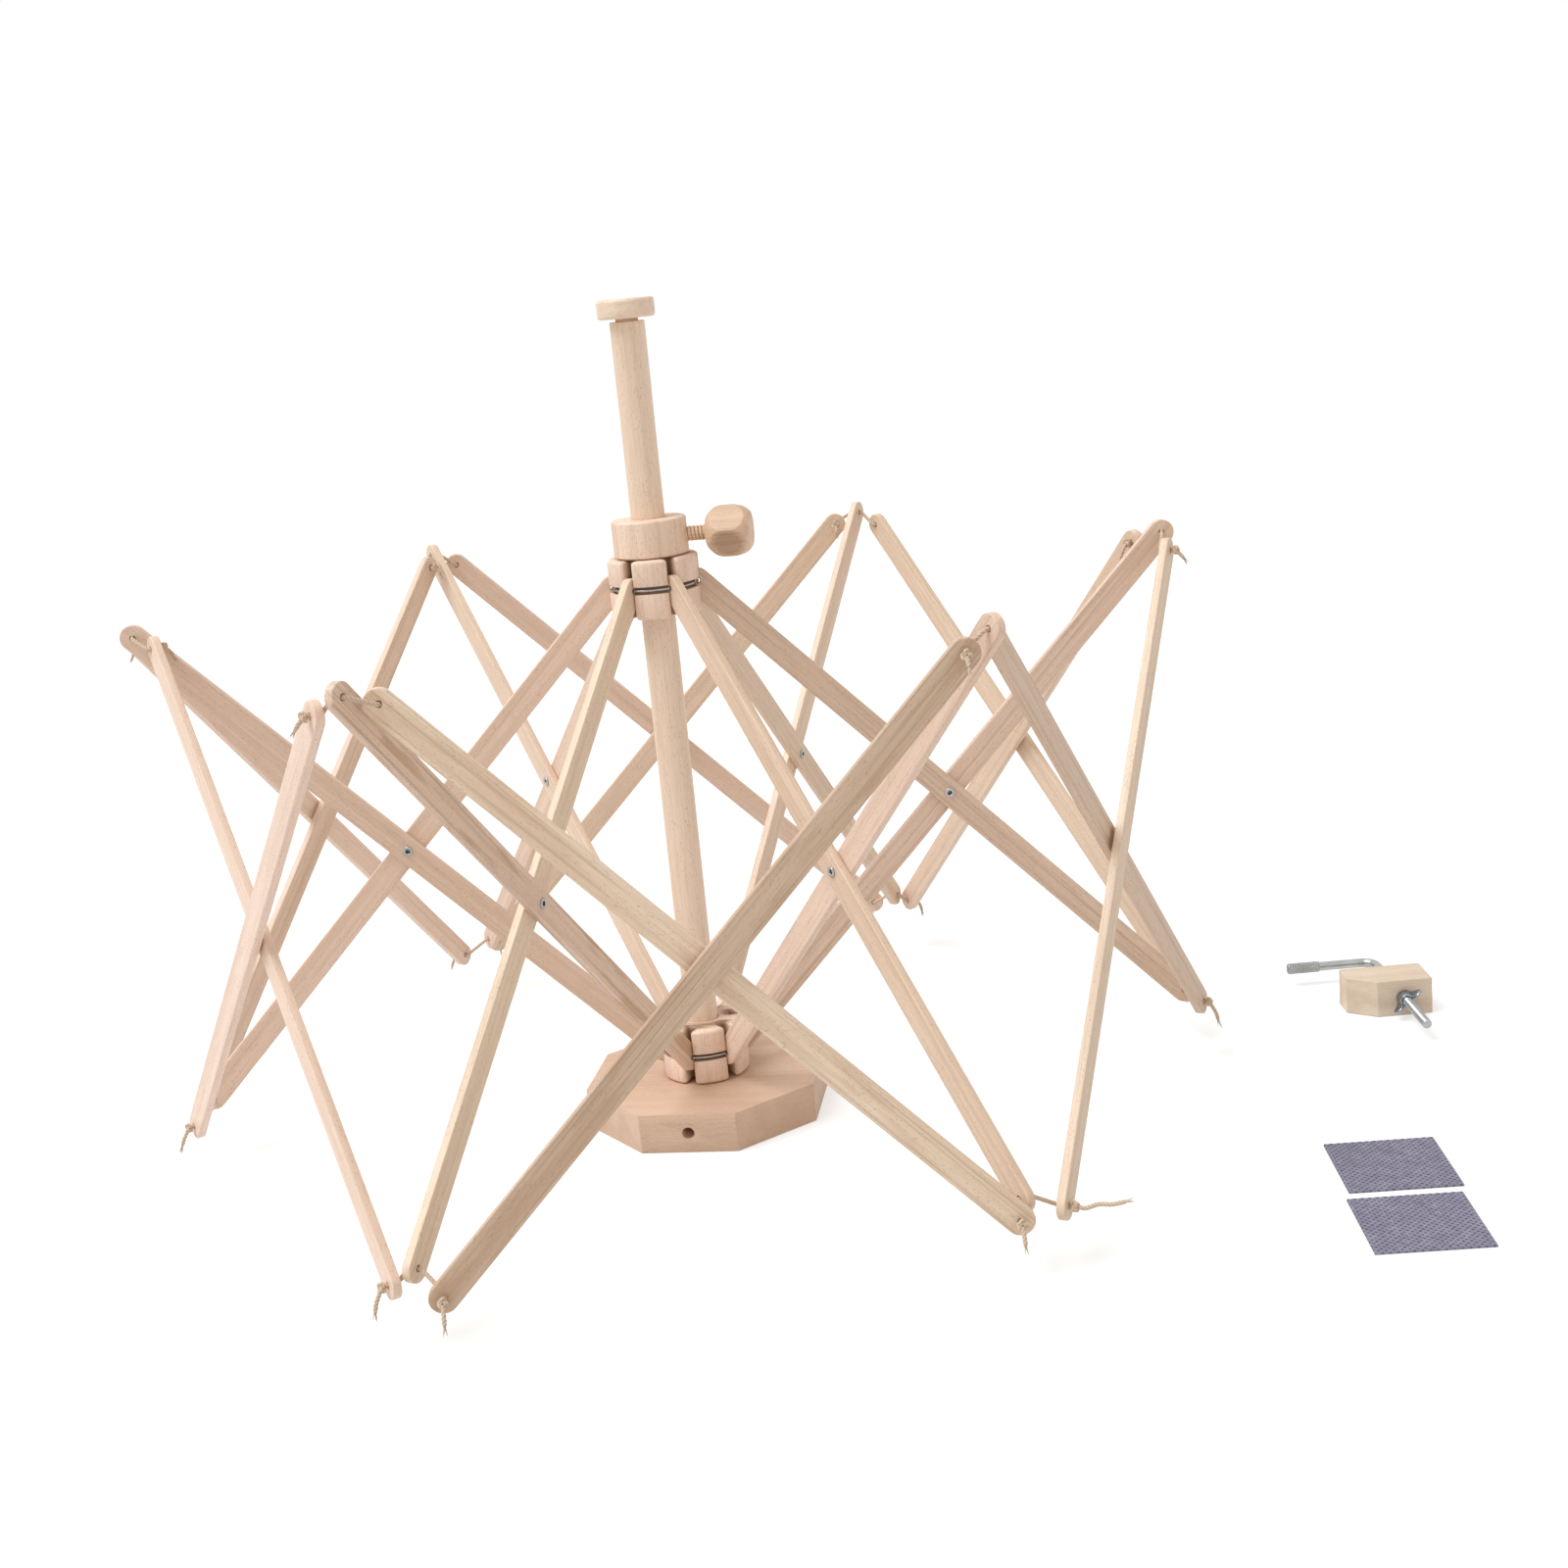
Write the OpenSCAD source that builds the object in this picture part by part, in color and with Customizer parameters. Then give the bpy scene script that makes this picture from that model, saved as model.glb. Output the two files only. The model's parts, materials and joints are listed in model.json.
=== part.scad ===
// Yarn holder: a folding wooden swift on a post, with its table clamp and two grip pads
// Millimetres, +Z up; the post stands over the origin and the clamp hole in the base faces -Y

/* [Fold] */
// Slope of the ribs above the table
fold_angle = 46; // [32:0.5:72]
// Distance between the end holes of a rib
rib_pitch = 398; // [320:1:440]
// Direction of the first arm
first_arm = 192.5; // [0:0.5:359.5]

/* [Ribs and slats] */
// Width of a rib or slat
rib_w = 15; // [12:0.5:17]
// Thickness of a rib or slat
rib_t = 4.8; // [3.6:0.1:5.4]
// Gap between the two ribs of a pair
rib_gap = 0.3; // [0.2:0.1:0.8]
// Diameter of the string holes
tip_hole_d = 3.4; // [3:0.1:4.2]
// Diameter of the holes for the hub wires
wire_hole_d = 3; // [2.9:0.1:3.6]

/* [Hubs] */
// Outer diameter of a hub
hub_d = 53.4; // [52:0.2:60]
// Height of a hub
hub_h = 34; // [28:1:44]
// Distance of the rib pivots from the post's axis
pivot_r = 24.8; // [24:0.1:25.4]
// Height of the wire groove
groove_h = 3.4; // [2.4:0.1:5]
// Diameter of the hub wire
wire_d = 1.8; // [1.2:0.1:2]
// Rounding of the hub rims
hub_edge = 2; // [0.5:0.5:4]
// Play of a rib in its slot, both sides together
slot_play = 0.7; // [0.5:0.1:1.2]

/* [Post and base] */
// Diameter of the post
post_d = 20; // [16:0.5:21]
// Height of the post's top above the table
post_top = 478; // [440:1:540]
// Width of the octagonal base across its flats
base_w = 140.6; // [120:0.2:180]
// Thickness of the base
base_t = 24; // [18:0.5:36]
// Diameter of the clamp hole in the base
clamp_hole_d = 7.4; // [7.2:0.1:9]
// Depth of the clamp hole
clamp_hole_l = 52; // [30:1:54]

/* [Collar, screw and cap] */
// Diameter of the sliding collar
collar_d = 44; // [38:0.5:52]
// Height of the sliding collar
collar_h = 21.5; // [16:0.5:30]
// Diameter of the thumbscrew's shank
screw_d = 8.5; // [7:0.1:10]
// Pitch of the wooden thread
screw_pitch = 2.2; // [1.6:0.1:3]
// Diameter of the thumbscrew's knob
knob_d = 31; // [26:0.5:36]
// Length of the thumbscrew's knob
knob_l = 26; // [20:0.5:30]
// Diameter of the cap
cap_d = 33; // [26:0.5:40]
// Thickness of the cap
cap_h = 11; // [8:0.5:16]
// Diameter of the cap's peg
peg_d = 13; // [9:0.2:14]

/* [Clamp] */
// Diameter of the clamp rod
rod_d = 6; // [5:0.1:6.8]
// Diameter over the knurl
knurl_d = 7.2; // [6.9:0.1:7.2]
// Length of the knurl
knurl_l = 21; // [12:1:30]
// Short leg, from its end to the axis of the long leg
short_leg = 58; // [45:1:70]
// Long leg, from its end to the axis of the short leg
long_leg = 118; // [100:1:150]
// Radius of the bend
bend_r = 9; // [7:0.5:14]
// Length of the clamp block
block_l = 52; // [44:1:70]
// Height of the clamp block along the rod
block_h = 29; // [22:1:34]
// Depth of the clamp block
block_d = 24; // [20:1:32]
// Distance from the short leg's axis to the block
jaw_gap = 41; // [30:1:44]

/* [Grip pads] */
// Side of a square grip pad
pad_w = 60; // [50:1:64]
// Thickness of a grip pad
pad_t = 1.5; // [1:0.1:3]

/* [Strings] */
// Diameter of the string
string_d = 2.4; // [1.6:0.1:2.6]
// Diameter of a knot
knot_d = 6; // [5:0.2:6.4]

/* [Hidden] */
$fn = 64;

// Colours as the photo shows them
beech = [0.87, 0.75, 0.62];
pale_beech = [0.92, 0.82, 0.68];
steel = [0.75, 0.75, 0.76];
zinc = [0.55, 0.6, 0.62];
twine = [0.86, 0.8, 0.7];
pad_grey = [0.58, 0.56, 0.64];

// Running play between the hubs or the collar and the post, and above the base
bore_play = 0.3;
rest_play = 0.3;
// Play of a turned fit, of a shaft and of a pressed-in piece
shaft_play = 0.06;
fit_play = 0.04;

// Six arms; the ribs of a pair lie side by side, the lower rib on the anticlockwise side
arms = 6;
arm_step = 360 / arms;
rib_off = (rib_t + rib_gap) / 2;
hub_gap = rib_pitch * sin(fold_angle);
lower_z = base_t + rest_play + hub_h / 2;
upper_z = lower_z + hub_gap;
tip_r = pivot_r + rib_pitch * cos(fold_angle);
cross_r = (pivot_r + tip_r) / 2;
cross_z = (lower_z + upper_z) / 2;

// Hub bore, depth of the rib slots and path of the hub wire
hub_bore_r = post_d / 2 + bore_play;
slot_r = pivot_r - rib_w / 2 - 0.5;
slot_w = rib_t + slot_play;
wire_ring_r = sqrt(pivot_r * pivot_r + rib_off * rib_off);
groove_r = wire_ring_r - wire_d / 2 - 0.3;

// Post: foot in the base's socket, bore for the cap's peg
socket_z = 6;
peg_l = 14;
cap_gap = 1.7;
cap_z = post_top + cap_gap;

// Collar standing on the upper hub, thumbscrew axis at mid-height
collar_z = upper_z + hub_h / 2 + 0.4;
screw_z = collar_z + collar_h / 2;
screw_tip_r = post_d / 2 + 0.6;
knob_r0 = collar_d / 2 + 12;
thread_n = floor((knob_r0 + 1 - screw_tip_r) / screw_pitch);

// Rivet through the crossing of a pair
rivet_r = 1.6;
rivet_head_r = 3;
rivet_head_t = 0.9;
rivet_face = rib_off + rib_t / 2 + 0.04;

// Where the slats hang from the tips: way along the slat's side of the hexagon,
// way outwards from that side, and drop below the tip holes
inner_along = 19;
inner_out_top = -5;
inner_out_bottom = 12.5;
inner_drop = 6;
outer_along = 12.4;
outer_out_top = 6;
outer_out_bottom = 15.5;
outer_drop = 9;
inner_tilt = atan((inner_out_bottom - inner_out_top) / rib_pitch);
outer_tilt = atan((outer_out_bottom - outer_out_top) / rib_pitch);
inner_back = pivot_r - inner_along;
outer_back = pivot_r - outer_along;

// Ties: a knot's middle stands off its slat's face; a bend starts clear of a hole
knot_gap = knot_d / 2 + 0.2;
bend_out = 1.6;
bend_reach = 2;

// Clamp laid flat beside the swift: place of the corner of its legs, and its turn
clamp_at = [425, 180];
clamp_turn = 8;
rod_r = rod_d / 2;
rod_z = block_d / 2;
block_left = -34;
block_top = -jaw_gap;
nut_top = block_top - block_h - 0.4;
nut_h = 7;
wing_reach = 13.5;

// Pads laid in front of the clamp
pad_1_at = [395, -110];
pad_2_at = [399, -178];
pad_turn = 6;

// Vector helpers
function unit(v) = v / norm(v);
function tangent(p, i) = unit(p[min(i + 1, len(p) - 1)] - p[max(i - 1, 0)]);
function across(t) = unit(cross(t, abs(t[2]) < 0.8 ? [0, 0, 1] : [1, 0, 0]));
function carried(p, i, s) = i >= len(p) ? [] :
  let (t = tangent(p, i), q = unit(s - t * (s * t)))
  concat([q], carried(p, i + 1, q));

// Route whose corners are cut to short curves, so that it stays straight in the holes
function corner(a, b, c) =
  let (d = min(bend_reach, 0.49 * norm(b - a), 0.49 * norm(c - b)),
       p = b + d * unit(a - b), q = b + d * unit(c - b))
  [for (t = [0 : 1 / 3 : 1]) (1 - t) * (1 - t) * p + 2 * t * (1 - t) * b + t * t * q];
function rounded(p) = concat(
  [p[0]],
  [for (i = [1 : len(p) - 2]) each corner(p[i - 1], p[i], p[i + 1])],
  [p[len(p) - 1]]);

// Radius of a string at a point, thicker at its two knots
function string_r(q, k1, k2) =
  let (m = min(norm(q - k1), norm(q - k2)))
  string_d / 2 + (knot_d - string_d) / 2 * max(0, 1 - pow(m / 2.9, 2));

// A string swept along a rounded route with a ring at each step
module string_along(route, k1, k2) {
  p = rounded(route);
  n = len(p);
  s = carried(p, 0, across(tangent(p, 0)));
  m = 8;
  pts = [for (i = [0 : n - 1]) for (j = [0 : m - 1])
    let (t = tangent(p, i), a = 360 * j / m)
    p[i] + string_r(p[i], k1, k2) * (cos(a) * s[i] + sin(a) * cross(t, s[i]))];
  sides = [for (i = [0 : n - 2]) for (j = [0 : m - 1]) for (h = [0, 1])
    let (b = i * m + j, c = i * m + (j + 1) % m)
    h == 0 ? [b, b + m, c + m] : [b, c + m, c]];
  caps = [[for (j = [0 : m - 1]) j], [for (j = [m - 1 : -1 : 0]) (n - 1) * m + j]];
  polyhedron(points = pts, faces = concat(sides, caps), convexity = 6);
}

// Place children in the frame of an arm: x outwards, y anticlockwise
module on_arm(k) {
  rotate([0, 0, first_arm + arm_step * (k - 1)])
    children();
}

// A wooden lath with round ends and a hole at each end, along x from its first hole
module lath(first_hole_r, last_hole_r, mid_hole_r) {
  rotate([90, 0, 0])
    linear_extrude(height = rib_t, center = true)
      difference() {
        union() {
          translate([0, -rib_w / 2])
            square([rib_pitch, rib_w]);
          circle(r = rib_w / 2);
          translate([rib_pitch, 0])
            circle(r = rib_w / 2);
        }
        circle(r = first_hole_r);
        translate([rib_pitch, 0])
          circle(r = last_hole_r);
        if (mid_hole_r > 0)
          translate([rib_pitch / 2, 0])
            circle(r = mid_hole_r);
      }
}

// Octagonal base with the post's socket and the clamp hole
module base() {
  color(beech)
    difference() {
      linear_extrude(height = base_t)
        rotate([0, 0, 22.5])
          circle(r = base_w / 2 / cos(22.5), $fn = 8);
      translate([0, 0, socket_z])
        cylinder(r = post_d / 2 + fit_play, h = base_t);
      translate([0, -base_w / 2 - 1, base_t / 2])
        rotate([-90, 0, 0])
          cylinder(d = clamp_hole_d, h = clamp_hole_l + 1);
    }
}

// Round post with a bore for the cap's peg
module post() {
  color(beech)
    translate([0, 0, socket_z])
      difference() {
        cylinder(d = post_d, h = post_top - socket_z);
        translate([0, 0, post_top - socket_z - peg_l - 2])
          cylinder(r = peg_d / 2 + shaft_play, h = peg_l + 4);
      }
}

// Flat turned cap on its peg
module cap() {
  e = 2;
  r = cap_d / 2;
  color(pale_beech)
    translate([0, 0, cap_z]) {
      rotate_extrude()
        union() {
          square([r - e, cap_h]);
          translate([0, e])
            square([r, cap_h - 2 * e]);
          translate([r - e, e])
            circle(r = e);
          translate([r - e, cap_h - e])
            circle(r = e);
        }
      translate([0, 0, -cap_gap - peg_l])
        cylinder(d = peg_d, h = cap_gap + peg_l + 1);
    }
}

// Hub body: a ring with rounded rims, a wire groove and six slots set to one side
module hub(side) {
  e = hub_edge;
  r = hub_d / 2;
  difference() {
    translate([0, 0, -hub_h / 2])
      rotate_extrude()
        difference() {
          union() {
            translate([hub_bore_r, 0])
              square([r - e - hub_bore_r, hub_h]);
            translate([hub_bore_r, e])
              square([r - hub_bore_r, hub_h - 2 * e]);
            translate([r - e, e])
              circle(r = e);
            translate([r - e, hub_h - e])
              circle(r = e);
          }
          translate([groove_r, (hub_h - groove_h) / 2])
            square([r, groove_h]);
        }
    for (k = [1 : arms])
      on_arm(k)
        translate([slot_r, side * rib_off - slot_w / 2, -hub_h])
          cube([hub_d, slot_w, 2 * hub_h]);
  }
}

// Wire ring that carries the ribs of one hub
module wire_ring() {
  rotate_extrude()
    translate([wire_ring_r, 0])
      circle(d = wire_d);
}

module lower_hub() {
  color(beech)
    translate([0, 0, lower_z])
      hub(1);
}

module upper_hub() {
  color(beech)
    translate([0, 0, upper_z])
      hub(-1);
}

module lower_wire() {
  color(steel)
    translate([0, 0, lower_z])
      wire_ring();
}

module upper_wire() {
  color(steel)
    translate([0, 0, upper_z])
      wire_ring();
}

// Rib that rises from the lower hub to a top tip
module lower_rib(k) {
  color(beech)
    on_arm(k)
      translate([pivot_r, rib_off, lower_z])
        rotate([0, -fold_angle, 0])
          lath(wire_hole_d / 2, tip_hole_d / 2, rivet_r + 0.02);
}

// Rib that falls from the upper hub to a bottom tip
module upper_rib(k) {
  color(beech)
    on_arm(k)
      translate([pivot_r, -rib_off, upper_z])
        rotate([0, fold_angle, 0])
          lath(wire_hole_d / 2, tip_hole_d / 2, rivet_r + shaft_play);
}

// Hollow rivet at the crossing of a pair, with a rounded rim on both sides
module rivet(k) {
  color(steel)
    on_arm(k)
      translate([cross_r, 0, cross_z])
        rotate([90, 0, 0])
          difference() {
            union() {
              cylinder(r = rivet_r, h = 2 * rivet_face, center = true);
              for (m = [0, 1])
                mirror([0, 0, m])
                  translate([0, 0, rivet_face])
                    rotate_extrude()
                      difference() {
                        union() {
                          square([rivet_head_r - rivet_head_t / 2, rivet_head_t]);
                          translate([rivet_head_r - rivet_head_t / 2, rivet_head_t / 2])
                            circle(d = rivet_head_t, $fn = 24);
                        }
                        translate([-1, rivet_head_t * 0.45])
                          square([2.1 + 0.1, rivet_head_t]);
                      }
            }
          }
}

// Slat from the top tip of arm k down to the bottom tip of the next arm, nearer the post
module inner_slat(k) {
  a = first_arm + arm_step * (k - 1);
  color(beech)
    rotate([0, 0, a])
      translate([tip_r, 0, upper_z - inner_drop])
        rotate([0, 0, 120])
          translate([inner_along, -inner_out_top, 0])
            rotate([0, fold_angle, 0])
              rotate([0, 0, -inner_tilt])
                slat_body(inner_tilt);
}

// Slat from the top tip of the next arm down to the bottom tip of arm k, outermost
module outer_slat(k) {
  a = first_arm + arm_step * k;
  color(beech)
    rotate([0, 0, a])
      translate([tip_r, 0, upper_z - outer_drop])
        rotate([0, 0, -120])
          translate([outer_along, outer_out_top, 0])
            rotate([0, fold_angle, 0])
              rotate([0, 0, outer_tilt])
                slat_body(-outer_tilt);
}

// A slat's lath, longer by the slant that its hanging adds, with its holes bored level
module slat_body(tilt) {
  l = rib_pitch / cos(tilt);
  difference() {
    rotate([90, 0, 0])
      linear_extrude(height = rib_t, center = true)
        union() {
          translate([0, -rib_w / 2])
            square([l, rib_w]);
          circle(r = rib_w / 2);
          translate([l, 0])
            circle(r = rib_w / 2);
        }
    for (x = [0, l])
      translate([x, 0, 0])
        rotate([0, 0, tilt])
          rotate([90, 0, 0])
            cylinder(d = tip_hole_d, h = 4 * rib_t, center = true);
  }
}

// Route of a tie: knot, slat hole, rib hole, second slat hole, knot
// h1, n1 and h2, n2 are the slat holes and the ways out through them; y0 and y1 the rib faces
function tie_route(h1, n1, h2, n2, y0, y1) =
  let (f = rib_t / 2, k1 = h1 + n1 * (f + knot_gap), k2 = h2 + n2 * (f + knot_gap))
  [k1 + n1 * 5 + [0, 0, -15], k1 + n1 * 4 + [0, 0, -7], k1, h1 + n1 * f, h1 - n1 * (f + bend_out),
   [0, y0, 0], [0, y1, 0],
   h2 - n2 * (f + bend_out), h2 + n2 * f, k2, k2 + n2 * 4 + [0, 0, -6], k2 + n2 * 6 + [0, 0, -12]];

module tie(h1, n1, h2, n2, y0, y1) {
  route = tie_route(h1, n1, h2, n2, y0, y1);
  string_along(route, route[2], route[9]);
}

// String at a top tip; the inner slat's knot is on its inner face
module top_tie(k) {
  c = cos(30);
  n1 = [c, 0.5, 0];
  n2 = [c, -0.5, 0];
  h1 = inner_along * [-0.5, c, 0] + inner_out_top * n1 - [0, 0, inner_drop];
  h2 = outer_along * [-0.5, -c, 0] + outer_out_top * n2 - [0, 0, outer_drop];
  color(twine)
    on_arm(k)
      translate([tip_r, 0, upper_z])
        tie(h1, -n1, h2, n2, rib_off + rib_t / 2 + bend_out, rib_off - rib_t / 2 - bend_out);
}

// String at a bottom tip; both knots are on the slats' outer faces
module bottom_tie(k) {
  c = cos(30);
  n1 = [c, -0.5, 0];
  n2 = [c, 0.5, 0];
  h1 = inner_back * [-0.5, -c, 0] + inner_out_bottom * n1 - [0, 0, inner_drop];
  h2 = outer_back * [-0.5, c, 0] + outer_out_bottom * n2 - [0, 0, outer_drop];
  color(twine)
    on_arm(k)
      translate([tip_r, 0, lower_z])
        tie(h1, n1, h2, n2, -rib_off - rib_t / 2 - bend_out, -rib_off + rib_t / 2 + bend_out);
}

// Collar that holds the upper hub up on the post
module collar() {
  e = 1.5;
  r = collar_d / 2;
  color(beech)
    translate([0, 0, collar_z])
      difference() {
        rotate_extrude()
          union() {
            translate([hub_bore_r, 0])
              square([r - e - hub_bore_r, collar_h]);
            translate([hub_bore_r, e])
              square([r - hub_bore_r, collar_h - 2 * e]);
            translate([r - e, e])
              circle(r = e);
            translate([r - e, collar_h - e])
              circle(r = e);
          }
        translate([0, 0, collar_h / 2])
          rotate([0, 90, 0])
            cylinder(r = screw_d / 2 + shaft_play, h = collar_d);
      }
}

// Wooden thumbscrew: threaded shank and a ball knob with five flats
module thumbscrew() {
  r = screw_d / 2;
  g = screw_pitch * 0.3;
  color(beech)
    translate([0, 0, screw_z])
      rotate([0, 90, 0]) {
        difference() {
          translate([0, 0, screw_tip_r])
            cylinder(r = r, h = knob_r0 + 2 - screw_tip_r);
          for (i = [0 : thread_n - 1])
            translate([0, 0, screw_tip_r + screw_pitch * (i + 0.6)])
              rotate_extrude()
                polygon([[r - g, 0], [r + 1, -g - 1], [r + 1, g + 1]]);
        }
        intersection() {
          translate([0, 0, knob_r0 + knob_l * 0.52])
            sphere(d = knob_d);
          cylinder(r = knob_d * 0.415 / cos(36), h = 200, $fn = 5);
          translate([0, 0, knob_r0])
            cylinder(r = knob_d, h = knob_l);
        }
      }
}

// Place children in the plane of the clamp as it lies on the table
module clamp_frame() {
  translate([clamp_at[0], clamp_at[1], rod_z])
    rotate([0, 0, clamp_turn])
      children();
}

// Bent steel rod with a knurled short leg
module clamp_rod() {
  color(steel)
    clamp_frame() {
      translate([-short_leg, 0, 0])
        rotate([0, 90, 0])
          cylinder(r = rod_r, h = short_leg - bend_r);
      translate([-short_leg, 0, 0])
        rotate([0, 90, 0])
          cylinder(d = knurl_d, h = knurl_l);
      translate([-bend_r, -bend_r, 0])
        rotate_extrude(angle = 90)
          translate([bend_r, 0])
            circle(r = rod_r);
      translate([0, -bend_r, 0])
        rotate([90, 0, 0])
          cylinder(r = rod_r, h = long_leg - bend_r);
    }
}

// Wooden jaw with one corner cut away, sliding on the long leg
module clamp_block() {
  color(pale_beech)
    clamp_frame()
      translate([0, block_top, 0])
        difference() {
          translate([0, 0, -block_d / 2])
            linear_extrude(height = block_d)
              polygon([[block_left, 0], [block_left + block_l, 0],
                       [block_left + block_l, -block_h], [block_left + 17, -block_h],
                       [block_left, -block_h + 12]]);
          translate([0, 1, 0])
            rotate([90, 0, 0])
              cylinder(r = rod_r + 0.1, h = block_h + 2);
        }
}

// Wing nut under the block
module wing_nut() {
  color(zinc)
    clamp_frame()
      translate([0, nut_top, 0])
        rotate([90, 0, 0])
          rotate([0, 0, 40])
            difference() {
              union() {
                cylinder(r = rod_r + 2.4, h = nut_h);
                for (m = [0, 1])
                  mirror([m, 0, 0])
                    hull() {
                      translate([rod_r + 1.2, -1.3, 0.6])
                        cube([1, 2.6, nut_h - 1.6]);
                      translate([wing_reach - 3.4, 0, nut_h + 2])
                        rotate([90, 0, 0])
                          cylinder(r = 3.2, h = 2, center = true, $fn = 32);
                    }
              }
              translate([0, 0, -1])
                cylinder(r = rod_r + 0.08, h = nut_h + 12);
            }
}

module grip_pad(at) {
  color(pad_grey)
    translate([at[0], at[1], pad_t / 2])
      rotate([0, 0, pad_turn])
        cube([pad_w, pad_w, pad_t], center = true);
}

base();
post();
cap();
lower_hub();
lower_wire();
upper_hub();
upper_wire();
collar();
thumbscrew();
clamp_rod();
clamp_block();
wing_nut();
grip_pad(pad_1_at);  // grip_pad_1
grip_pad(pad_2_at);  // grip_pad_2
lower_rib(1);  // lower_rib_1
lower_rib(2);  // lower_rib_2
lower_rib(3);  // lower_rib_3
lower_rib(4);  // lower_rib_4
lower_rib(5);  // lower_rib_5
lower_rib(6);  // lower_rib_6
upper_rib(1);  // upper_rib_1
upper_rib(2);  // upper_rib_2
upper_rib(3);  // upper_rib_3
upper_rib(4);  // upper_rib_4
upper_rib(5);  // upper_rib_5
upper_rib(6);  // upper_rib_6
inner_slat(1);  // inner_slat_1
inner_slat(2);  // inner_slat_2
inner_slat(3);  // inner_slat_3
inner_slat(4);  // inner_slat_4
inner_slat(5);  // inner_slat_5
inner_slat(6);  // inner_slat_6
outer_slat(1);  // outer_slat_1
outer_slat(2);  // outer_slat_2
outer_slat(3);  // outer_slat_3
outer_slat(4);  // outer_slat_4
outer_slat(5);  // outer_slat_5
outer_slat(6);  // outer_slat_6
rivet(1);  // rivet_1
rivet(2);  // rivet_2
rivet(3);  // rivet_3
rivet(4);  // rivet_4
rivet(5);  // rivet_5
rivet(6);  // rivet_6
top_tie(1);  // top_tie_1
top_tie(2);  // top_tie_2
top_tie(3);  // top_tie_3
top_tie(4);  // top_tie_4
top_tie(5);  // top_tie_5
top_tie(6);  // top_tie_6
bottom_tie(1);  // bottom_tie_1
bottom_tie(2);  // bottom_tie_2
bottom_tie(3);  // bottom_tie_3
bottom_tie(4);  // bottom_tie_4
bottom_tie(5);  // bottom_tie_5
bottom_tie(6);  // bottom_tie_6
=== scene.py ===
import json
import math
import bmesh
import bpy
import numpy as np
from mathutils import Matrix, Vector
from mathutils.geometry import tessellate_polygon

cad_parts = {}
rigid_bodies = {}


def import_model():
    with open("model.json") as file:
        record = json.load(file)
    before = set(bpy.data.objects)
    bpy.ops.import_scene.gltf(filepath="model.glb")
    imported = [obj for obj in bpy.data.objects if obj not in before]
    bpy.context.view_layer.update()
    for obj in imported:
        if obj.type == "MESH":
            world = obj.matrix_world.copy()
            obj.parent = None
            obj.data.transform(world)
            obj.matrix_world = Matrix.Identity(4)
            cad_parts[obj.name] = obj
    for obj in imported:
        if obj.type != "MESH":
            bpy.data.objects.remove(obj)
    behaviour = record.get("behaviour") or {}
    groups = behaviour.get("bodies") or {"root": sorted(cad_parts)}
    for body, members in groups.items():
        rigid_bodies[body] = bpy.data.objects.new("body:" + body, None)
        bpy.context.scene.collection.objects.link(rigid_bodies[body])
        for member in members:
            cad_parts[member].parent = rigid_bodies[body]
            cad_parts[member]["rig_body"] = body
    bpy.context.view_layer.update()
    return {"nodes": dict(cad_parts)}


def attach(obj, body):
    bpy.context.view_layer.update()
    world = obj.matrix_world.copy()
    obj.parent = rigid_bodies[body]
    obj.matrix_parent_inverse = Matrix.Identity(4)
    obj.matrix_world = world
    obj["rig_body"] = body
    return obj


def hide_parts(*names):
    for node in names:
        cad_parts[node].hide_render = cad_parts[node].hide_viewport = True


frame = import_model()
scene = bpy.context.scene
NODES = frame["nodes"]
TAU = 2 * math.pi

# Camera, from a fit of the post, the base and the rib tips to the photograph
cam_data = bpy.data.cameras.new("camera")
cam_data.lens = 46.267
cam_data.sensor_width = 36
cam_data.clip_end = 20
camera = bpy.data.objects.new("camera", cam_data)
scene.collection.objects.link(camera)
yaw, pitch, roll = (math.radians(a) for a in (9.361, 13.948, -5.396))
side = Vector((math.cos(yaw), math.sin(yaw), 0))
look = Vector((-math.sin(yaw) * math.cos(pitch), math.cos(yaw) * math.cos(pitch), -math.sin(pitch)))
up = side.cross(look)
cam_x = side * math.cos(roll) + up * math.sin(roll)
cam_y = up * math.cos(roll) - side * math.sin(roll)
turn = Matrix((cam_x, cam_y, -look)).transposed().to_4x4()
camera.matrix_world = Matrix.Translation((0.25397, -1.14685, 0.49174)) @ turn
scene.camera = camera

# Sizes of the swift in metres, as in the part's source
ARMS = 6
FOLD = math.radians(46)
PITCH = 0.398
FIRST = 192.5
PIVOT_R = 0.0248
LATH_W = 0.015
LATH_T = 0.0048
RIB_OFF = 0.00255
LOW_Z = 0.0413
UP_Z = LOW_Z + PITCH * math.sin(FOLD)
TIP_R = PIVOT_R + PITCH * math.cos(FOLD)
LATH_EDGE = 0.0006
HOLE_R = 0.0017
HOLE_RIM = 0.0003
HOLE_SIDES = 24
STRING_R = 0.0012
STRING_LAY = 0.0062
STRING_PLIES = 3
STRING_STEP = 0.0005
KNOT_GAP = 0.0032
KNOT_SIZE = 0.0021
BEND_OUT = 0.0016
BEND_REACH = 0.002
COLLAR_Z = UP_Z + 0.0174
SCREW_Z = COLLAR_Z + 0.01075


def turned(angle):
    """Rotation about Z by an angle in degrees, as a 3 by 3 array."""
    a = math.radians(angle)
    return np.array([[math.cos(a), -math.sin(a), 0], [math.sin(a), math.cos(a), 0], [0, 0, 1]])


def tipped(angle):
    """Rotation about Y by an angle in degrees; a positive one lowers the X axis."""
    a = math.radians(angle)
    return np.array([[math.cos(a), 0, math.sin(a)], [0, 1, 0], [-math.sin(a), 0, math.cos(a)]])


def rolled(angle):
    """Rotation about X by an angle in degrees."""
    a = math.radians(angle)
    return np.array([[1, 0, 0], [0, math.cos(a), -math.sin(a)], [0, math.sin(a), math.cos(a)]])


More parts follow.
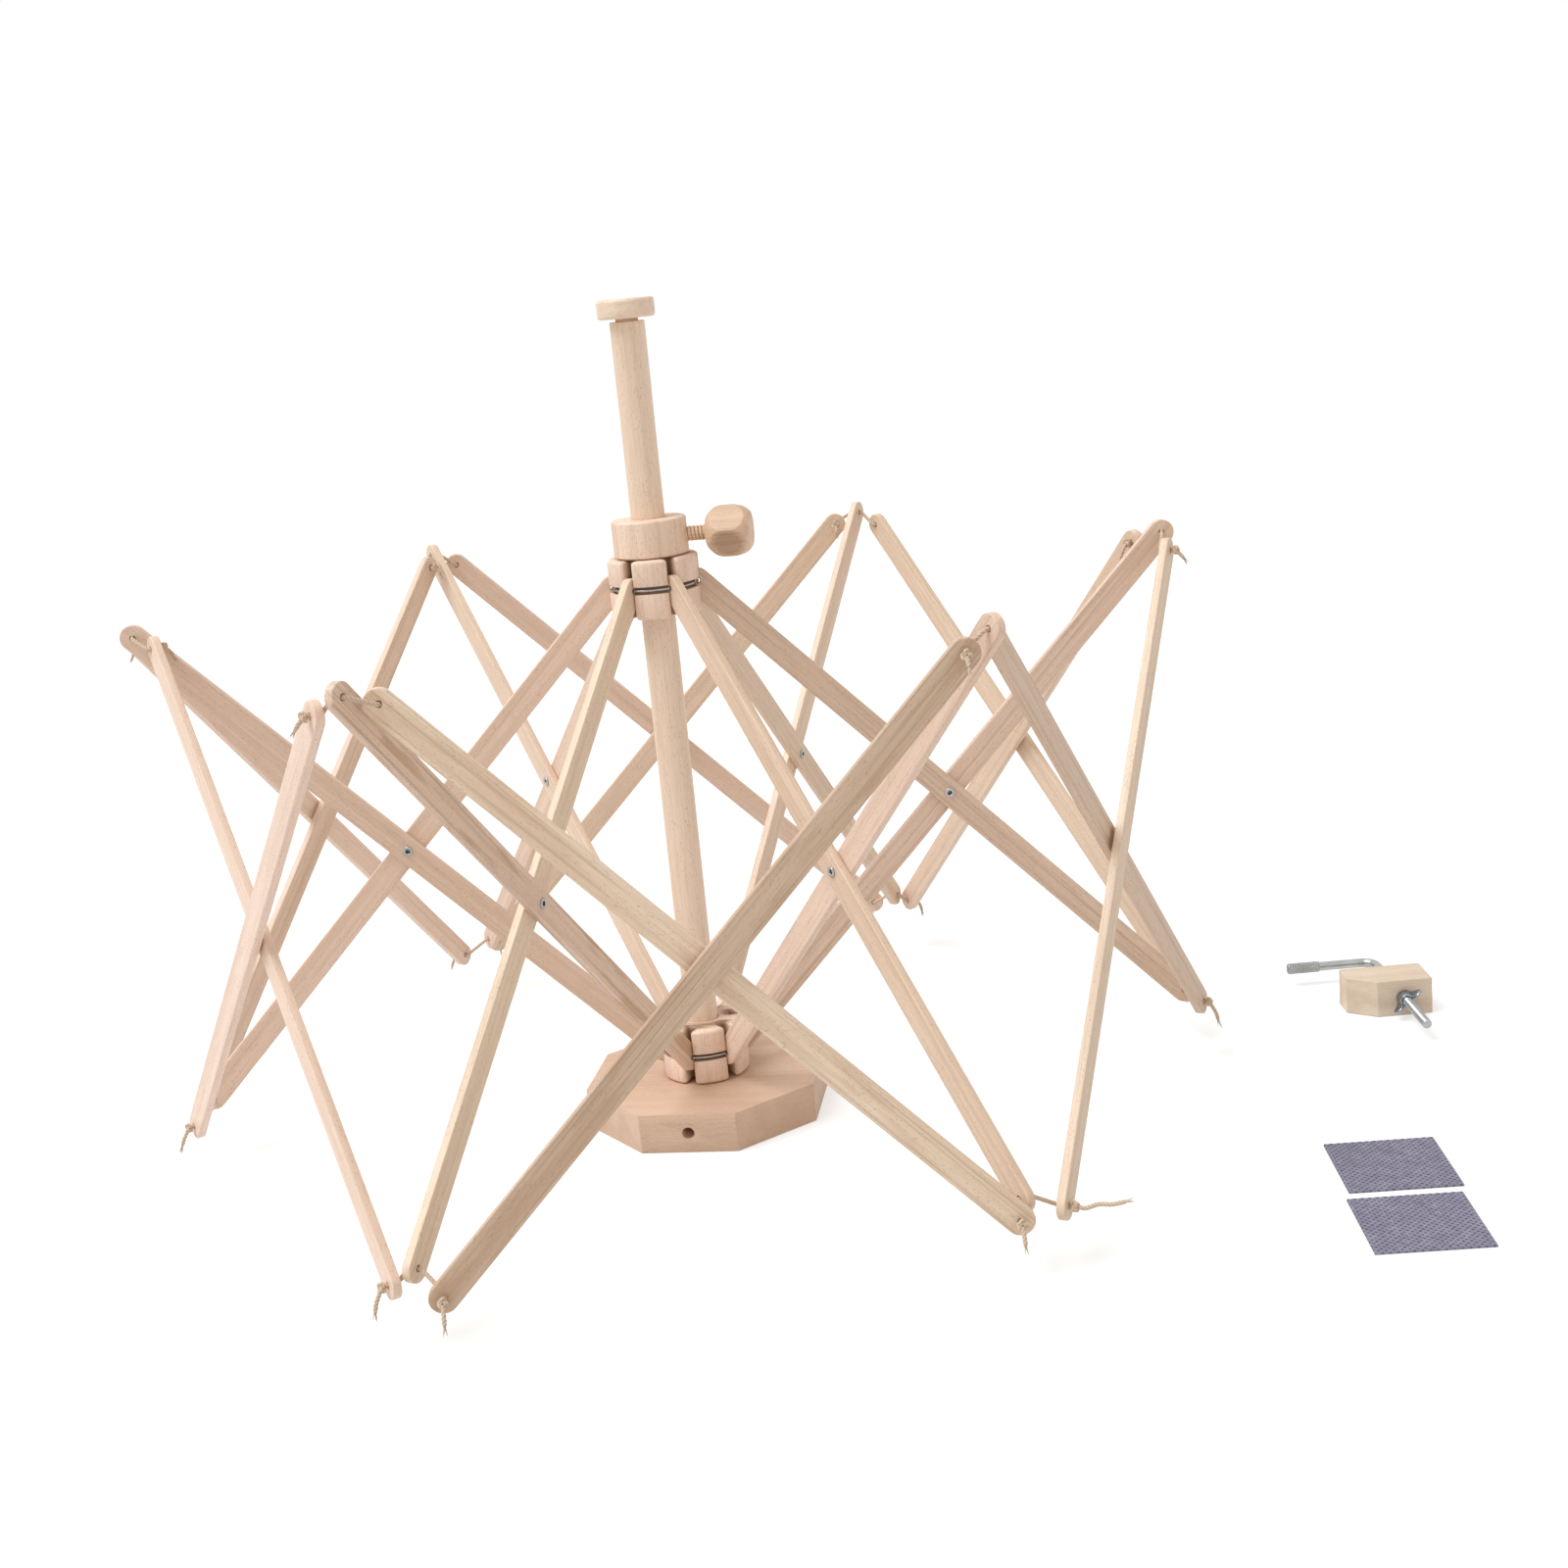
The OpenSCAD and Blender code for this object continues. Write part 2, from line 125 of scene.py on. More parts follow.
# Making of meshes
def piece(name, verts, faces, body, replaces, material, marks=None, uv=None, angle=35):
    """Puts arrays into a mesh object that rides on a body and stands for CAD nodes.
    marks are values kept on each point for its material, such as its place in its own board."""
    mesh = bpy.data.meshes.new(name)
    mesh.from_pydata(np.asarray(verts).tolist(), [], [list(f) for f in faces])
    for mark, values in (marks or {}).items():
        values = np.asarray(values, dtype=np.float32)
        kind, field = ("FLOAT", "value") if values.ndim == 1 else ("FLOAT_VECTOR", "vector")
        mesh.attributes.new(mark, kind, "POINT").data.foreach_set(field, values.ravel())
    if uv is not None:
        layer = mesh.uv_layers.new(name="UVMap")
        loops = np.zeros(len(mesh.loops), dtype=np.int32)
        mesh.loops.foreach_get("vertex_index", loops)
        layer.data.foreach_set("uv", np.asarray(uv, dtype=np.float32)[loops].ravel())
    mesh.validate()
    mesh.update()
    mesh.shade_smooth()
    mesh.set_sharp_from_angle(angle=math.radians(angle))
    obj = bpy.data.objects.new(name, mesh)
    scene.collection.objects.link(obj)
    mesh.materials.append(material)
    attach(obj, body)
    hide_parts(*replaces)
    return obj


def grid_faces(rows, cols, wrap=True, start=0):
    """Quads of a grid of rows by cols points, closed round its columns if wrap."""
    i, j = np.meshgrid(np.arange(rows - 1), np.arange(cols if wrap else cols - 1), indexing="ij")
    a = i * cols + j
    b = i * cols + (j + 1) % cols
    return (np.stack([a, b, b + cols, a + cols], axis=-1).reshape(-1, 4) + start).tolist()


def closed_grid(rows, cols):
    """Quads of a tube of rows rings by cols points, with a face over each end."""
    ends = [list(range(cols))[::-1], list(range((rows - 1) * cols, rows * cols))]
    return grid_faces(rows, cols) + ends


def scattered(x):
    """The fraction of 43758.5453 sin x: values from 0 to 1 that look random and are the same each time."""
    return np.sin(x) * 43758.5453 % 1


def outline_arc(cx, cy, r, a0, a1, n):
    """Points on an arc from a0 to a1 degrees."""
    a = np.radians(np.linspace(a0, a1, n))
    return np.stack([cx + r * np.cos(a), cy + r * np.sin(a)], axis=1)


def outward(outline):
    """Unit normals of a closed anticlockwise outline, from the mean of the two sides at each point."""
    d = np.roll(outline, -1, axis=0) - outline
    n = np.stack([d[:, 1], -d[:, 0]], axis=1)
    n /= np.linalg.norm(n, axis=1, keepdims=True)
    m = n + np.roll(n, 1, axis=0)
    m /= np.maximum(1e-9, (m * np.roll(n, 1, axis=0)).sum(axis=1, keepdims=True))
    return m


def filled(verts, loops, upward):
    """Triangles of a level face bounded by loops of point numbers, all facing up or all down."""
    flat = [i for loop in loops for i in loop]
    faces = []
    for tri in tessellate_polygon([[Vector((*verts[i][:2], 0)) for i in loop] for loop in loops]):
        a, b, c = (flat[i] for i in tri)
        area = np.cross(verts[b][:2] - verts[a][:2], verts[c][:2] - verts[a][:2])
        if (area > 0) != upward:
            a, c = c, a
        faces.append([a, b, c])
    return faces


def board(outline, holes, thick, edge):
    """A flat board cut to an outline, with round holes and edges rounded to a quarter circle.
    Each level z of the side is the outline drawn in by edge - sqrt(edge^2 - (|z| - thick/2 + edge)^2)."""
    n = outward(outline)
    half = thick / 2
    t = np.linspace(0, math.pi / 2, 5)
    drawn = np.concatenate([[edge * 1.25], edge * (1 - np.sin(t)), edge * (1 - np.cos(t)), [edge * 1.25]])
    z = np.concatenate([[-half], -half + edge * (1 - np.cos(t)), half - edge * (1 - np.sin(t)), [half]])
    rings = [np.column_stack([outline - n * d, np.full(len(outline), level)]) for d, level in zip(drawn, z)]
    verts = [np.concatenate(rings)]
    faces = grid_faces(len(rings), len(outline))
    count = len(rings) * len(outline)
    low, high = [range(len(outline))], [range(count - len(outline), count)]
    m = HOLE_SIDES
    for cx, cy, r in holes:
        soft = min(HOLE_RIM, r / 4)
        ring, wide = (outline_arc(cx, cy, radius, 0, 360, m + 1)[:-1][::-1] for radius in (r, r + soft))
        levels = [(wide, -half), (ring, -half + soft), (ring, half - soft), (wide, half)]
        verts.append(np.concatenate([np.column_stack([c, np.full(m, level)]) for c, level in levels]))
        faces += grid_faces(4, m, True, count)
        low.append(range(count, count + m))
        high.append(range(count + 3 * m, count + 4 * m))
        count += 4 * m
    verts = np.concatenate(verts)
    return verts, faces + filled(verts, low, False) + filled(verts, high, True)


def lathe(profile, n=96):
    """A profile of (radius, height) points turned about Z; a radius of nought closes it at a pole."""
    profile = np.asarray(profile, dtype=float)
    a = np.linspace(0, TAU, n, endpoint=False)
    verts = np.stack([np.outer(profile[:, 0], np.cos(a)), np.outer(profile[:, 0], np.sin(a)),
                      np.repeat(profile[:, 1:], n, axis=1)], axis=-1).reshape(-1, 3)
    return verts, grid_faces(len(profile), n)


def fillet(x, z, r, a0, a1, n=6):
    """Points of a rounded corner of a lathe profile, from a0 to a1 degrees."""
    a = np.radians(np.linspace(a0, a1, n))
    return [(x + r * math.cos(t), z + r * math.sin(t)) for t in a]


def lengths(path):
    """How far along a path each of its points lies."""
    return np.concatenate([[0], np.cumsum(np.linalg.norm(np.diff(path, axis=0), axis=1))])


def cut_route(points, reach, step):
    """A route whose corners are cut to short curves (1 - t)^2 p + 2 t (1 - t) b + t^2 q between the points
    p and q at a distance of reach from the corner b, then resampled to even steps of its length."""
    route = np.asarray(points, dtype=float)
    before, corner, after = route[:-2], route[1:-1], route[2:]
    back = np.linalg.norm(before - corner, axis=1, keepdims=True)
    ahead = np.linalg.norm(after - corner, axis=1, keepdims=True)
    d = np.minimum(reach, 0.49 * np.minimum(back, ahead))
    p = (corner + (before - corner) / back * d)[:, None, :]
    q = (corner + (after - corner) / ahead * d)[:, None, :]
    t = np.linspace(0, 1, 12)[None, :, None]
    curves = (1 - t) ** 2 * p + 2 * t * (1 - t) * corner[:, None, :] + t ** 2 * q
    line = np.vstack([route[:1], curves.reshape(-1, 3), route[-1:]])
    s = lengths(line)
    even = np.linspace(0, s[-1], max(4, int(round(s[-1] / step)) + 1))
    return np.stack([np.interp(even, s, line[:, k]) for k in range(3)], axis=1)


def carried_frame(path):
    """Two unit vectors square to a path and to each other, carried along it with no twist."""
    t = np.gradient(path, axis=0)
    t /= np.linalg.norm(t, axis=1, keepdims=True)
    s = np.zeros_like(t)
    ref = np.array([0.0, 0.0, 1.0]) if abs(t[0][2]) < 0.8 else np.array([1.0, 0.0, 0.0])
    last = np.cross(t[0], ref)
    for i, d in enumerate(t):
        last = last - d * (last @ d)
        last /= np.linalg.norm(last)
        s[i] = last
    return s, np.cross(t, s)


def swept(path, s, b, a, rad):
    """Points of a tube: path + rad * (cos a * s + sin a * b), with rad by the path's step and the angle."""
    ring = np.cos(a)[None, :, None] * s[:, None, :] + np.sin(a)[None, :, None] * b[:, None, :]
    return (path[:, None, :] + rad[..., None] * ring).reshape(-1, 3)


def rope(path, r, taper):
    """A twisted cord along a path: its radius is r * (0.78 + 0.22 * |cos(plies / 2 * (angle - turn))|), where
    turn grows by one full turn in each length of lay; over its ends it thins to taper times that."""
    s, b = carried_frame(path)
    length = lengths(path)
    sides = 18
    a = np.linspace(0, TAU, sides, endpoint=False)
    twist = TAU * length / STRING_LAY
    rad = r * (0.78 + 0.22 * np.abs(np.cos(STRING_PLIES / 2 * (a[None, :] - twist[:, None]))))
    end = np.minimum(1, taper + np.minimum(length, length[-1] - length)[:, None] / (1.2 * r) * (1 - taper))
    rad = rad * end
    uv = np.stack([np.broadcast_to(length[:, None] / STRING_LAY, rad.shape),
                   np.broadcast_to(a[None, :] / TAU, rad.shape)], axis=-1)
    return swept(path, s, b, a, rad), closed_grid(len(path), sides), uv.reshape(-1, 2)


def frayed(end, way, seed):
    """The loose threads of a cut string: thread i leaves the end along way by its length times t and
    spreads by t^1.6 times 1.7 mm towards its own angle, thinning from 0.32 mm to a point."""
    strands, rings, sides = 7, 9, 5
    w = np.asarray(way, dtype=float) / np.linalg.norm(way)
    u = np.cross(w, [0.0, 1.0, 0.0] if abs(w[1]) < 0.8 else [1.0, 0.0, 0.0])
    u /= np.linalg.norm(u)
    v = np.cross(w, u)
    i = np.arange(strands)[:, None]
    t = np.linspace(0, 1, rings)[None, :]
    chance = scattered(12.9898 * (i + 1) + 78.233 * seed)
    angle = TAU * (i / strands + 0.35 * chance) + seed
    reach = 0.0034 + 0.0026 * chance
    spread = 0.0004 * (1 - t) + 0.0017 * t ** 1.6 * (0.5 + 0.5 * chance)
    curl = angle + 0.9 * t * (chance - 0.5)
    line = (end + (reach * t)[..., None] * w + (spread * np.cos(curl))[..., None] * u
            + (spread * np.sin(curl))[..., None] * v)
    a = np.linspace(0, TAU, sides, endpoint=False)
    rad = 0.00032 * (1 - 0.85 * t ** 2)[..., None]
    ring = np.cos(a)[:, None] * u + np.sin(a)[:, None] * v
    verts = line[:, :, None, :] + rad[..., None] * ring
    one = np.array(grid_faces(rings, sides))
    faces = (one[None] + (np.arange(strands) * rings * sides)[:, None, None]).reshape(-1, 4).tolist()
    caps = np.arange(strands)[:, None] * rings * sides + np.arange(sides)[None, ::-1]
    tips = np.arange(strands)[:, None] * rings * sides + (rings - 1) * sides + np.arange(sides)[None, :]
    faces += caps.tolist() + tips.tolist()
    return verts.reshape(-1, 3), faces, np.tile([[0.0, 0.1 * (seed % 3)]], (strands * rings * sides, 1))


def knot_path(centre, along, size):
    """An overhand knot pulled tight: the trefoil (sin t + 2 sin 2t, cos t - 2 cos 2t, -sin 3t),
    flattened along the string's own direction."""
    t = np.linspace(0, TAU, 73)
    w = np.asarray(along, dtype=float)
    w /= np.linalg.norm(w)
    ref = np.array([0.0, 0.0, 1.0]) if abs(w[2]) < 0.8 else np.array([1.0, 0.0, 0.0])
    u = np.cross(w, ref)
    u /= np.linalg.norm(u)
    v = np.cross(w, u)
    x = (np.sin(t) + 2 * np.sin(2 * t)) / 3
    y = (np.cos(t) - 2 * np.cos(2 * t)) / 3
    z = -np.sin(3 * t)
    return np.asarray(centre) + size * (x[:, None] * u + y[:, None] * v) + size * 0.42 * z[:, None] * w


def joined(parts):
    """Several (points, faces, uv) parts as one mesh; a part may have no uv."""
    starts = np.cumsum([0] + [len(v) for v, _, _ in parts])
    verts = np.concatenate([v for v, _, _ in parts])
    faces = [[i + start for i in face] for start, (_, f, _) in zip(starts, parts) for face in f]
    uvs = np.concatenate([np.zeros((len(v), 2)) if uv is None else uv for v, _, uv in parts])
    return verts, faces, uvs


# Making of materials
class Nodes:
    """Short way to lay out a shader's or a group's nodes."""

    def __init__(self, tree):
        self.tree = tree

    def add(self, kind, inputs=None, **props):
        node = self.tree.nodes.new(kind)
        for key, value in props.items():
            setattr(node, key, value)
        for key, value in (inputs or {}).items():
            self.put(node.inputs[key], value)
        return node

    def put(self, socket, value):
        if isinstance(value, bpy.types.NodeSocket):
            self.tree.links.new(value, socket)
        else:
            socket.default_value = value

    def math(self, op, a, b=0.0, clamp=False):
        return self.add("ShaderNodeMath", {0: a, 1: b}, operation=op, use_clamp=clamp).outputs[0]

    def noise(self, vector, scale, detail=3.0, rough=0.5):
        inputs = {"Vector": vector, "Scale": scale, "Detail": detail, "Roughness": rough}
        return self.add("ShaderNodeTexNoise", inputs).outputs[0]

    def span(self, value, a, b, c=0.0, d=1.0):
        return self.add("ShaderNodeMapRange", {0: value, 1: a, 2: b, 3: c, 4: d}, clamp=True).outputs[0]

    def stretch(self, vector, scale):
        return self.add("ShaderNodeMapping", {"Vector": vector, "Scale": scale}).outputs[0]

    def mix(self, factor, a, b, blend="MIX"):
        node = self.add("ShaderNodeMix", data_type="RGBA", blend_type=blend)
        self.put(node.inputs[0], factor)
        self.put(node.inputs[6], a)
        self.put(node.inputs[7], b)
        return node.outputs[2]


def new_material(name):
    mat = bpy.data.materials.new(name)
    mat.use_nodes = True
    mat.node_tree.nodes.clear()
    n = Nodes(mat.node_tree)
    out = n.add("ShaderNodeOutputMaterial")
    shader = n.add("ShaderNodeBsdfPrincipled")
    n.put(out.inputs["Surface"], shader.outputs[0])
    return mat, n, shader


# Colours of the beech beside its own: brown heart patches, and tints that multiply it. The darker tint is
# both a board's own tone and painted shade; the deeper one is painted shade in hub slots and on the knob's
# lower flat.
HEARTWOOD = (0.60, 0.39, 0.235, 1)
DARK_TONE_AND_SHADE, DEEP_PAINTED_SHADE = (0.74, 0.69, 0.645, 1), (0.50, 0.42, 0.36, 1)
PINK, OLIVE = (1.0, 0.962, 0.985, 1), (0.97, 1.0, 0.90, 1)


def beech_group():
    """Beech seen along its board: broad growth bands, long darker lines, fine fibres and short dark flecks.
    In: a place in metres with X along the grain, three colours, and the board's own make: how dark it is,
    with painted shade too (up to 2, in a hub's slots), its hue from pink to olive and how strongly lined,
    both from 0 to 1.
    Band Rate sets how close the bands lie and Wave how far, in metres, they sway aside along the board.
    Out: colour, roughness, height."""
    g = bpy.data.node_groups.new("beech grain", "ShaderNodeTree")
    vector, tint, number = "NodeSocketVector", "NodeSocketColor", "NodeSocketFloat"
    inputs = (("Place", vector), ("Light", tint), ("Dark", tint), ("Fleck", tint), ("Board", vector),
              ("Band Rate", number), ("Wave", number))
    for name, kind in inputs:
        g.interface.new_socket(name, in_out="INPUT", socket_type=kind)
    for name, kind in (("Color", tint), ("Roughness", number), ("Height", number)):
        g.interface.new_socket(name, in_out="OUTPUT", socket_type=kind)
    n = Nodes(g)
    src = n.add("NodeGroupInput")
    out = n.add("NodeGroupOutput")
    fleck = src.outputs["Fleck"]
    sway = n.math("SUBTRACT", n.noise(n.stretch(src.outputs["Place"], (38, 24, 24)), 1.0, 1.0), 0.5)
    sway = n.math("MULTIPLY", sway, n.math("MULTIPLY", src.outputs["Wave"], 4.0))
    aside = n.add("ShaderNodeCombineXYZ", {1: sway, 2: sway}).outputs[0]
    place = n.add("ShaderNodeVectorMath", {0: src.outputs["Place"], 1: aside}).outputs[0]
    how_dark, how_olive, how_lined = n.add("ShaderNodeSeparateXYZ", {0: src.outputs["Board"]}).outputs
    long_way = n.stretch(place, (5, 210, 150))
    wide = n.add("ShaderNodeVectorMath", {0: long_way, "Scale": src.outputs["Band Rate"]}, operation="SCALE")
    wander = n.noise(n.stretch(place, (6, 60, 60)), 1.0, 2.0)
    bands = n.noise(wide.outputs[0], 1.0, 2.0, 0.45)
    fibres = n.noise(n.stretch(place, (60, 2600, 2600)), 1.0, 3.0, 0.6)
    lines = n.noise(n.stretch(place, (7, 620, 620)), 1.0, 2.0, 0.55)
    board_tone = n.noise(place, 1.7, 1.0)
    tone = n.math("ADD", n.math("MULTIPLY", wander, 0.3), n.math("MULTIPLY", bands, 0.7))
    tone = n.math("ADD", n.span(tone, 0.38, 0.70), n.span(board_tone, 0.3, 0.7, -0.25, 0.25), clamp=True)
    color = n.mix(tone, src.outputs["Light"], src.outputs["Dark"])
    lined = n.math("MULTIPLY", n.span(lines, 0.5, 0.68), n.math("MULTIPLY", how_lined, 0.5))
    color = n.mix(lined, color, fleck)
    heart = n.span(n.noise(n.stretch(place, (13, 90, 90)), 1.0, 3.0), 0.52, 0.60)
    heart = n.math("MULTIPLY", heart, n.span(how_lined, 0.8, 1.0, 0.0, 0.7))
    color = n.mix(heart, color, HEARTWOOD)
    color = n.mix(n.math("MULTIPLY", n.span(fibres, 0.42, 0.72), 0.27), color, fleck)
    cells = n.add("ShaderNodeTexVoronoi", {"Vector": n.stretch(place, (260, 1500, 1500)), "Scale": 1.0,
                                           "Randomness": 1.0}).outputs["Distance"]
    patch = n.span(n.noise(n.stretch(place, (30, 260, 260)), 1.0, 2.0), 0.36, 0.53)
    mark = n.math("MULTIPLY", n.span(cells, 0.27, 0.1), patch)
    color = n.mix(n.math("MULTIPLY", mark, 0.8), color, fleck)
    # A board's own darker tone, which also paints shade in thread roots, hub slots and on the knob's lower
    # flat
    color = n.mix(how_dark, color, DARK_TONE_AND_SHADE, "MULTIPLY")
    # Deeper painted shade where how_dark passes 1: hub slots and the knob's lower flat
    color = n.mix(n.span(how_dark, 1.0, 2.0), color, DEEP_PAINTED_SHADE, "MULTIPLY")
    color = n.mix(1.0, color, n.mix(how_olive, PINK, OLIVE), "MULTIPLY")
    n.put(out.inputs["Color"], color)
    n.put(out.inputs["Roughness"], n.span(fibres, 0.3, 0.8, 0.46, 0.6))
    height = n.math("SUBTRACT", n.math("MULTIPLY", fibres, 0.5), n.math("MULTIPLY", mark, 0.5))
    n.put(out.inputs["Height"], height)
    return g


BEECH = beech_group()


def wood(name, light, dark, fleck, along=None, rate=1.0, board=(0.0, 0.2, 0.3), wave=0.0):
    """Beech on a piece. along is the turn in degrees that brings the grain to X; without it the wood reads
    the board places and makes that the piece's points carry."""
    mat, n, shader = new_material(name)
    group = n.add("ShaderNodeGroup", node_tree=BEECH)
    if along is None:
        place = n.add("ShaderNodeAttribute", attribute_name="grain").outputs["Vector"]
        board = n.add("ShaderNodeAttribute", attribute_name="board").outputs["Vector"]
    else:
        place = n.add("ShaderNodeTexCoord").outputs["Object"]
        turn = tuple(math.radians(t) for t in along)
        place = n.add("ShaderNodeMapping", {"Vector": place, "Rotation": turn}).outputs[0]
    n.put(group.inputs["Place"], place)
    n.put(group.inputs["Board"], board)
    n.put(group.inputs["Band Rate"], rate)
    n.put(group.inputs["Wave"], wave)
    for key, value in (("Light", light), ("Dark", dark), ("Fleck", fleck)):
        n.put(group.inputs[key], (*value, 1))
    n.put(shader.inputs["Base Color"], group.outputs["Color"])
    n.put(shader.inputs["Roughness"], group.outputs["Roughness"])
    bumps = n.add("ShaderNodeBump", {"Strength": 0.12, "Distance": 0.0002, "Height": group.outputs["Height"]})
    n.put(shader.inputs["Normal"], bumps.outputs[0])
    return mat


def metal(name, color, rough):
    """Drawn or plated steel with fine streaks, small changes of gloss, and dark oil with painted shade in its
    grooves, which the mark "groove" gives from 0 on a crest to 1 at a root."""
    mat, n, shader = new_material(name)
    place = n.add("ShaderNodeTexCoord").outputs["Object"]
    streak = n.noise(n.stretch(place, (900, 900, 900)), 1.0, 3.0)
    cloud = n.noise(n.stretch(place, (90, 90, 90)), 1.0, 2.0)
    dark = tuple(c * 0.8 for c in color)
    groove = n.add("ShaderNodeAttribute", attribute_name="groove").outputs["Fac"]
    steel = n.mix(n.span(cloud, 0.35, 0.65), (*color, 1), (*dark, 1))
    # Dark oil and painted shade where the groove mark is high, in the knurl's and the thread's roots
    n.put(shader.inputs["Base Color"], n.mix(n.math("MULTIPLY", groove, 0.7), steel, (0.07, 0.07, 0.065, 1)))
    n.put(shader.inputs["Roughness"], n.span(streak, 0.3, 0.7, rough * 0.75, rough * 1.35))
    shader.inputs["Metallic"].default_value = 1.0
    bumps = n.add("ShaderNodeBump", {"Strength": 0.08, "Distance": 0.0001, "Height": streak})
    n.put(shader.inputs["Normal"], bumps.outputs[0])
    return mat


LIGHT, DARK, FLECK = (0.928, 0.742, 0.608), (0.808, 0.613, 0.467), (0.42, 0.27, 0.17)
beech_laths = wood("beech laths", LIGHT, DARK, FLECK)
ALONG_X, ALONG_Z, ALONG_BLOCK = (0, 0, 0), (0, 90, 0), (0, 0, -8)
beech_base = wood("beech base", (0.76, 0.555, 0.40), (0.655, 0.456, 0.316), FLECK, ALONG_X, 0.4,
                  (0, 0, 0.35), 0.0015)
beech_post = wood("beech post", (0.944, 0.763, 0.607), (0.824, 0.639, 0.482), FLECK, ALONG_Z, 0.8,
                  (0, 0.15, 0.2))
beech_hubs = wood("beech hubs", (0.93, 0.752, 0.603), (0.81, 0.612, 0.457), FLECK, None, 0.6)
beech_collar = wood("beech collar", (0.93, 0.738, 0.576), (0.79, 0.595, 0.438), FLECK, ALONG_Z, 0.8,
                    (0, 0, 0.35))
beech_screw = wood("beech screw", (0.86, 0.642, 0.465), (0.68, 0.468, 0.313), FLECK, None, 0.9, wave=0.001)
pale_cap = wood("pale cap", (0.936, 0.761, 0.609), (0.815, 0.638, 0.483), (0.46, 0.30, 0.19), ALONG_X)
pale_block = wood("pale block", (0.805, 0.689, 0.557), (0.563, 0.412, 0.289), (0.50, 0.35, 0.22), ALONG_BLOCK,
                  0.36, (0, 0.2, 0.2), 0.0022)
bright_wire = metal("bright wire", (0.42, 0.40, 0.39), 0.24)
rivet_steel = metal("rivet steel", (0.50, 0.49, 0.48), 0.34)
rod_steel = metal("rod steel", (0.50, 0.51, 0.495), 0.28)
zinc_plate = metal("zinc plate", (0.32, 0.37, 0.40), 0.24)


def string_material():
    """Twisted cotton string: plies shaded by their own depth, with fine fibres along them."""
    mat, n, shader = new_material("cotton string")
    uv = n.add("ShaderNodeUVMap", uv_map="UVMap").outputs[0]
    parts = n.add("ShaderNodeSeparateXYZ", {0: uv})
    turns = n.math("SUBTRACT", parts.outputs[1], parts.outputs[0])
    ply = n.math("ABSOLUTE", n.math("COSINE", n.math("MULTIPLY", turns, STRING_PLIES * math.pi)))
    place = n.add("ShaderNodeTexCoord").outputs["Object"]
    fibre = n.noise(n.stretch(place, (5200, 5200, 2600)), 1.0, 3.0, 0.6)
    shade = n.math("MULTIPLY", n.span(ply, 0.0, 0.7, 0.35, 1.0), n.span(fibre, 0.25, 0.75, 0.78, 1.0))
    n.put(shader.inputs["Base Color"], n.mix(shade, (0.29, 0.19, 0.12, 1), (0.71, 0.55, 0.41, 1)))
    shader.inputs["Roughness"].default_value = 0.85
    shader.inputs["Sheen Weight"].default_value = 0.1
    height = n.math("ADD", ply, n.math("MULTIPLY", fibre, 0.4))
    bumps = n.add("ShaderNodeBump", {"Strength": 0.35, "Distance": 0.0003, "Height": height})
    n.put(shader.inputs["Normal"], bumps.outputs[0])
    return mat


def pad_material():
    """Grip mat: blotchy grey-violet foam with staggered darker dimples, some faint and some wide.
    The UV map counts pitches of the dots."""
    mat, n, shader = new_material("grip mat")
    uv = n.add("ShaderNodeUVMap", uv_map="UVMap").outputs[0]
    place = n.add("ShaderNodeTexCoord").outputs["Object"]
    blotch = n.noise(n.stretch(place, (420, 420, 420)), 1.0, 3.0, 0.6)
    cloud = n.noise(n.stretch(place, (120, 120, 120)), 1.0, 2.0)
    own = n.noise(n.stretch(uv, (1.1, 1.1, 1.1)), 1.0, 1.0)
    parts = n.add("ShaderNodeSeparateXYZ", {0: uv})

    def dots(shift):
        cells = [n.math("FRACT", n.math("ADD", side, shift)) for side in parts.outputs[:2]]
        squares = [n.math("POWER", n.math("SUBTRACT", cell, 0.5), 2.0) for cell in cells]
        return n.math("SQRT", n.math("ADD", *squares))

    near = n.math("MINIMUM", dots(0.5), dots(0.0))
    near = n.math("ADD", near, n.math("MULTIPLY", n.math("SUBTRACT", blotch, 0.5), 0.16))
    near = n.math("ADD", near, n.math("MULTIPLY", n.math("SUBTRACT", own, 0.5), 0.22))
    dot = n.span(near, 0.12, 0.26, 1.0, 0.0)
    base = n.mix(n.span(blotch, 0.3, 0.7), (0.215, 0.20, 0.275, 1), (0.31, 0.29, 0.38, 1))
    base = n.mix(n.span(cloud, 0.35, 0.65, 0.0, 0.5), base, (0.16, 0.15, 0.21, 1))
    n.put(shader.inputs["Base Color"], n.mix(n.math("MULTIPLY", dot, 0.9), base, (0.068, 0.06, 0.098, 1)))
    shader.inputs["Roughness"].default_value = 0.8
    height = n.math("SUBTRACT", n.math("MULTIPLY", blotch, 0.3), dot)
    bumps = n.add("ShaderNodeBump", {"Strength": 0.5, "Distance": 0.0003, "Height": height})
    n.put(shader.inputs["Normal"], bumps.outputs[0])
    return mat


cotton = string_material()
grip_mat = pad_material()


# Ribs and slats
def lath_outline(length):
    """A bar of the lath's width with half-round ends about its two end holes."""
    r = LATH_W / 2
    return np.vstack([outline_arc(length, 0, r, -90, 90, 21), outline_arc(0, 0, r, 90, 270, 21)])


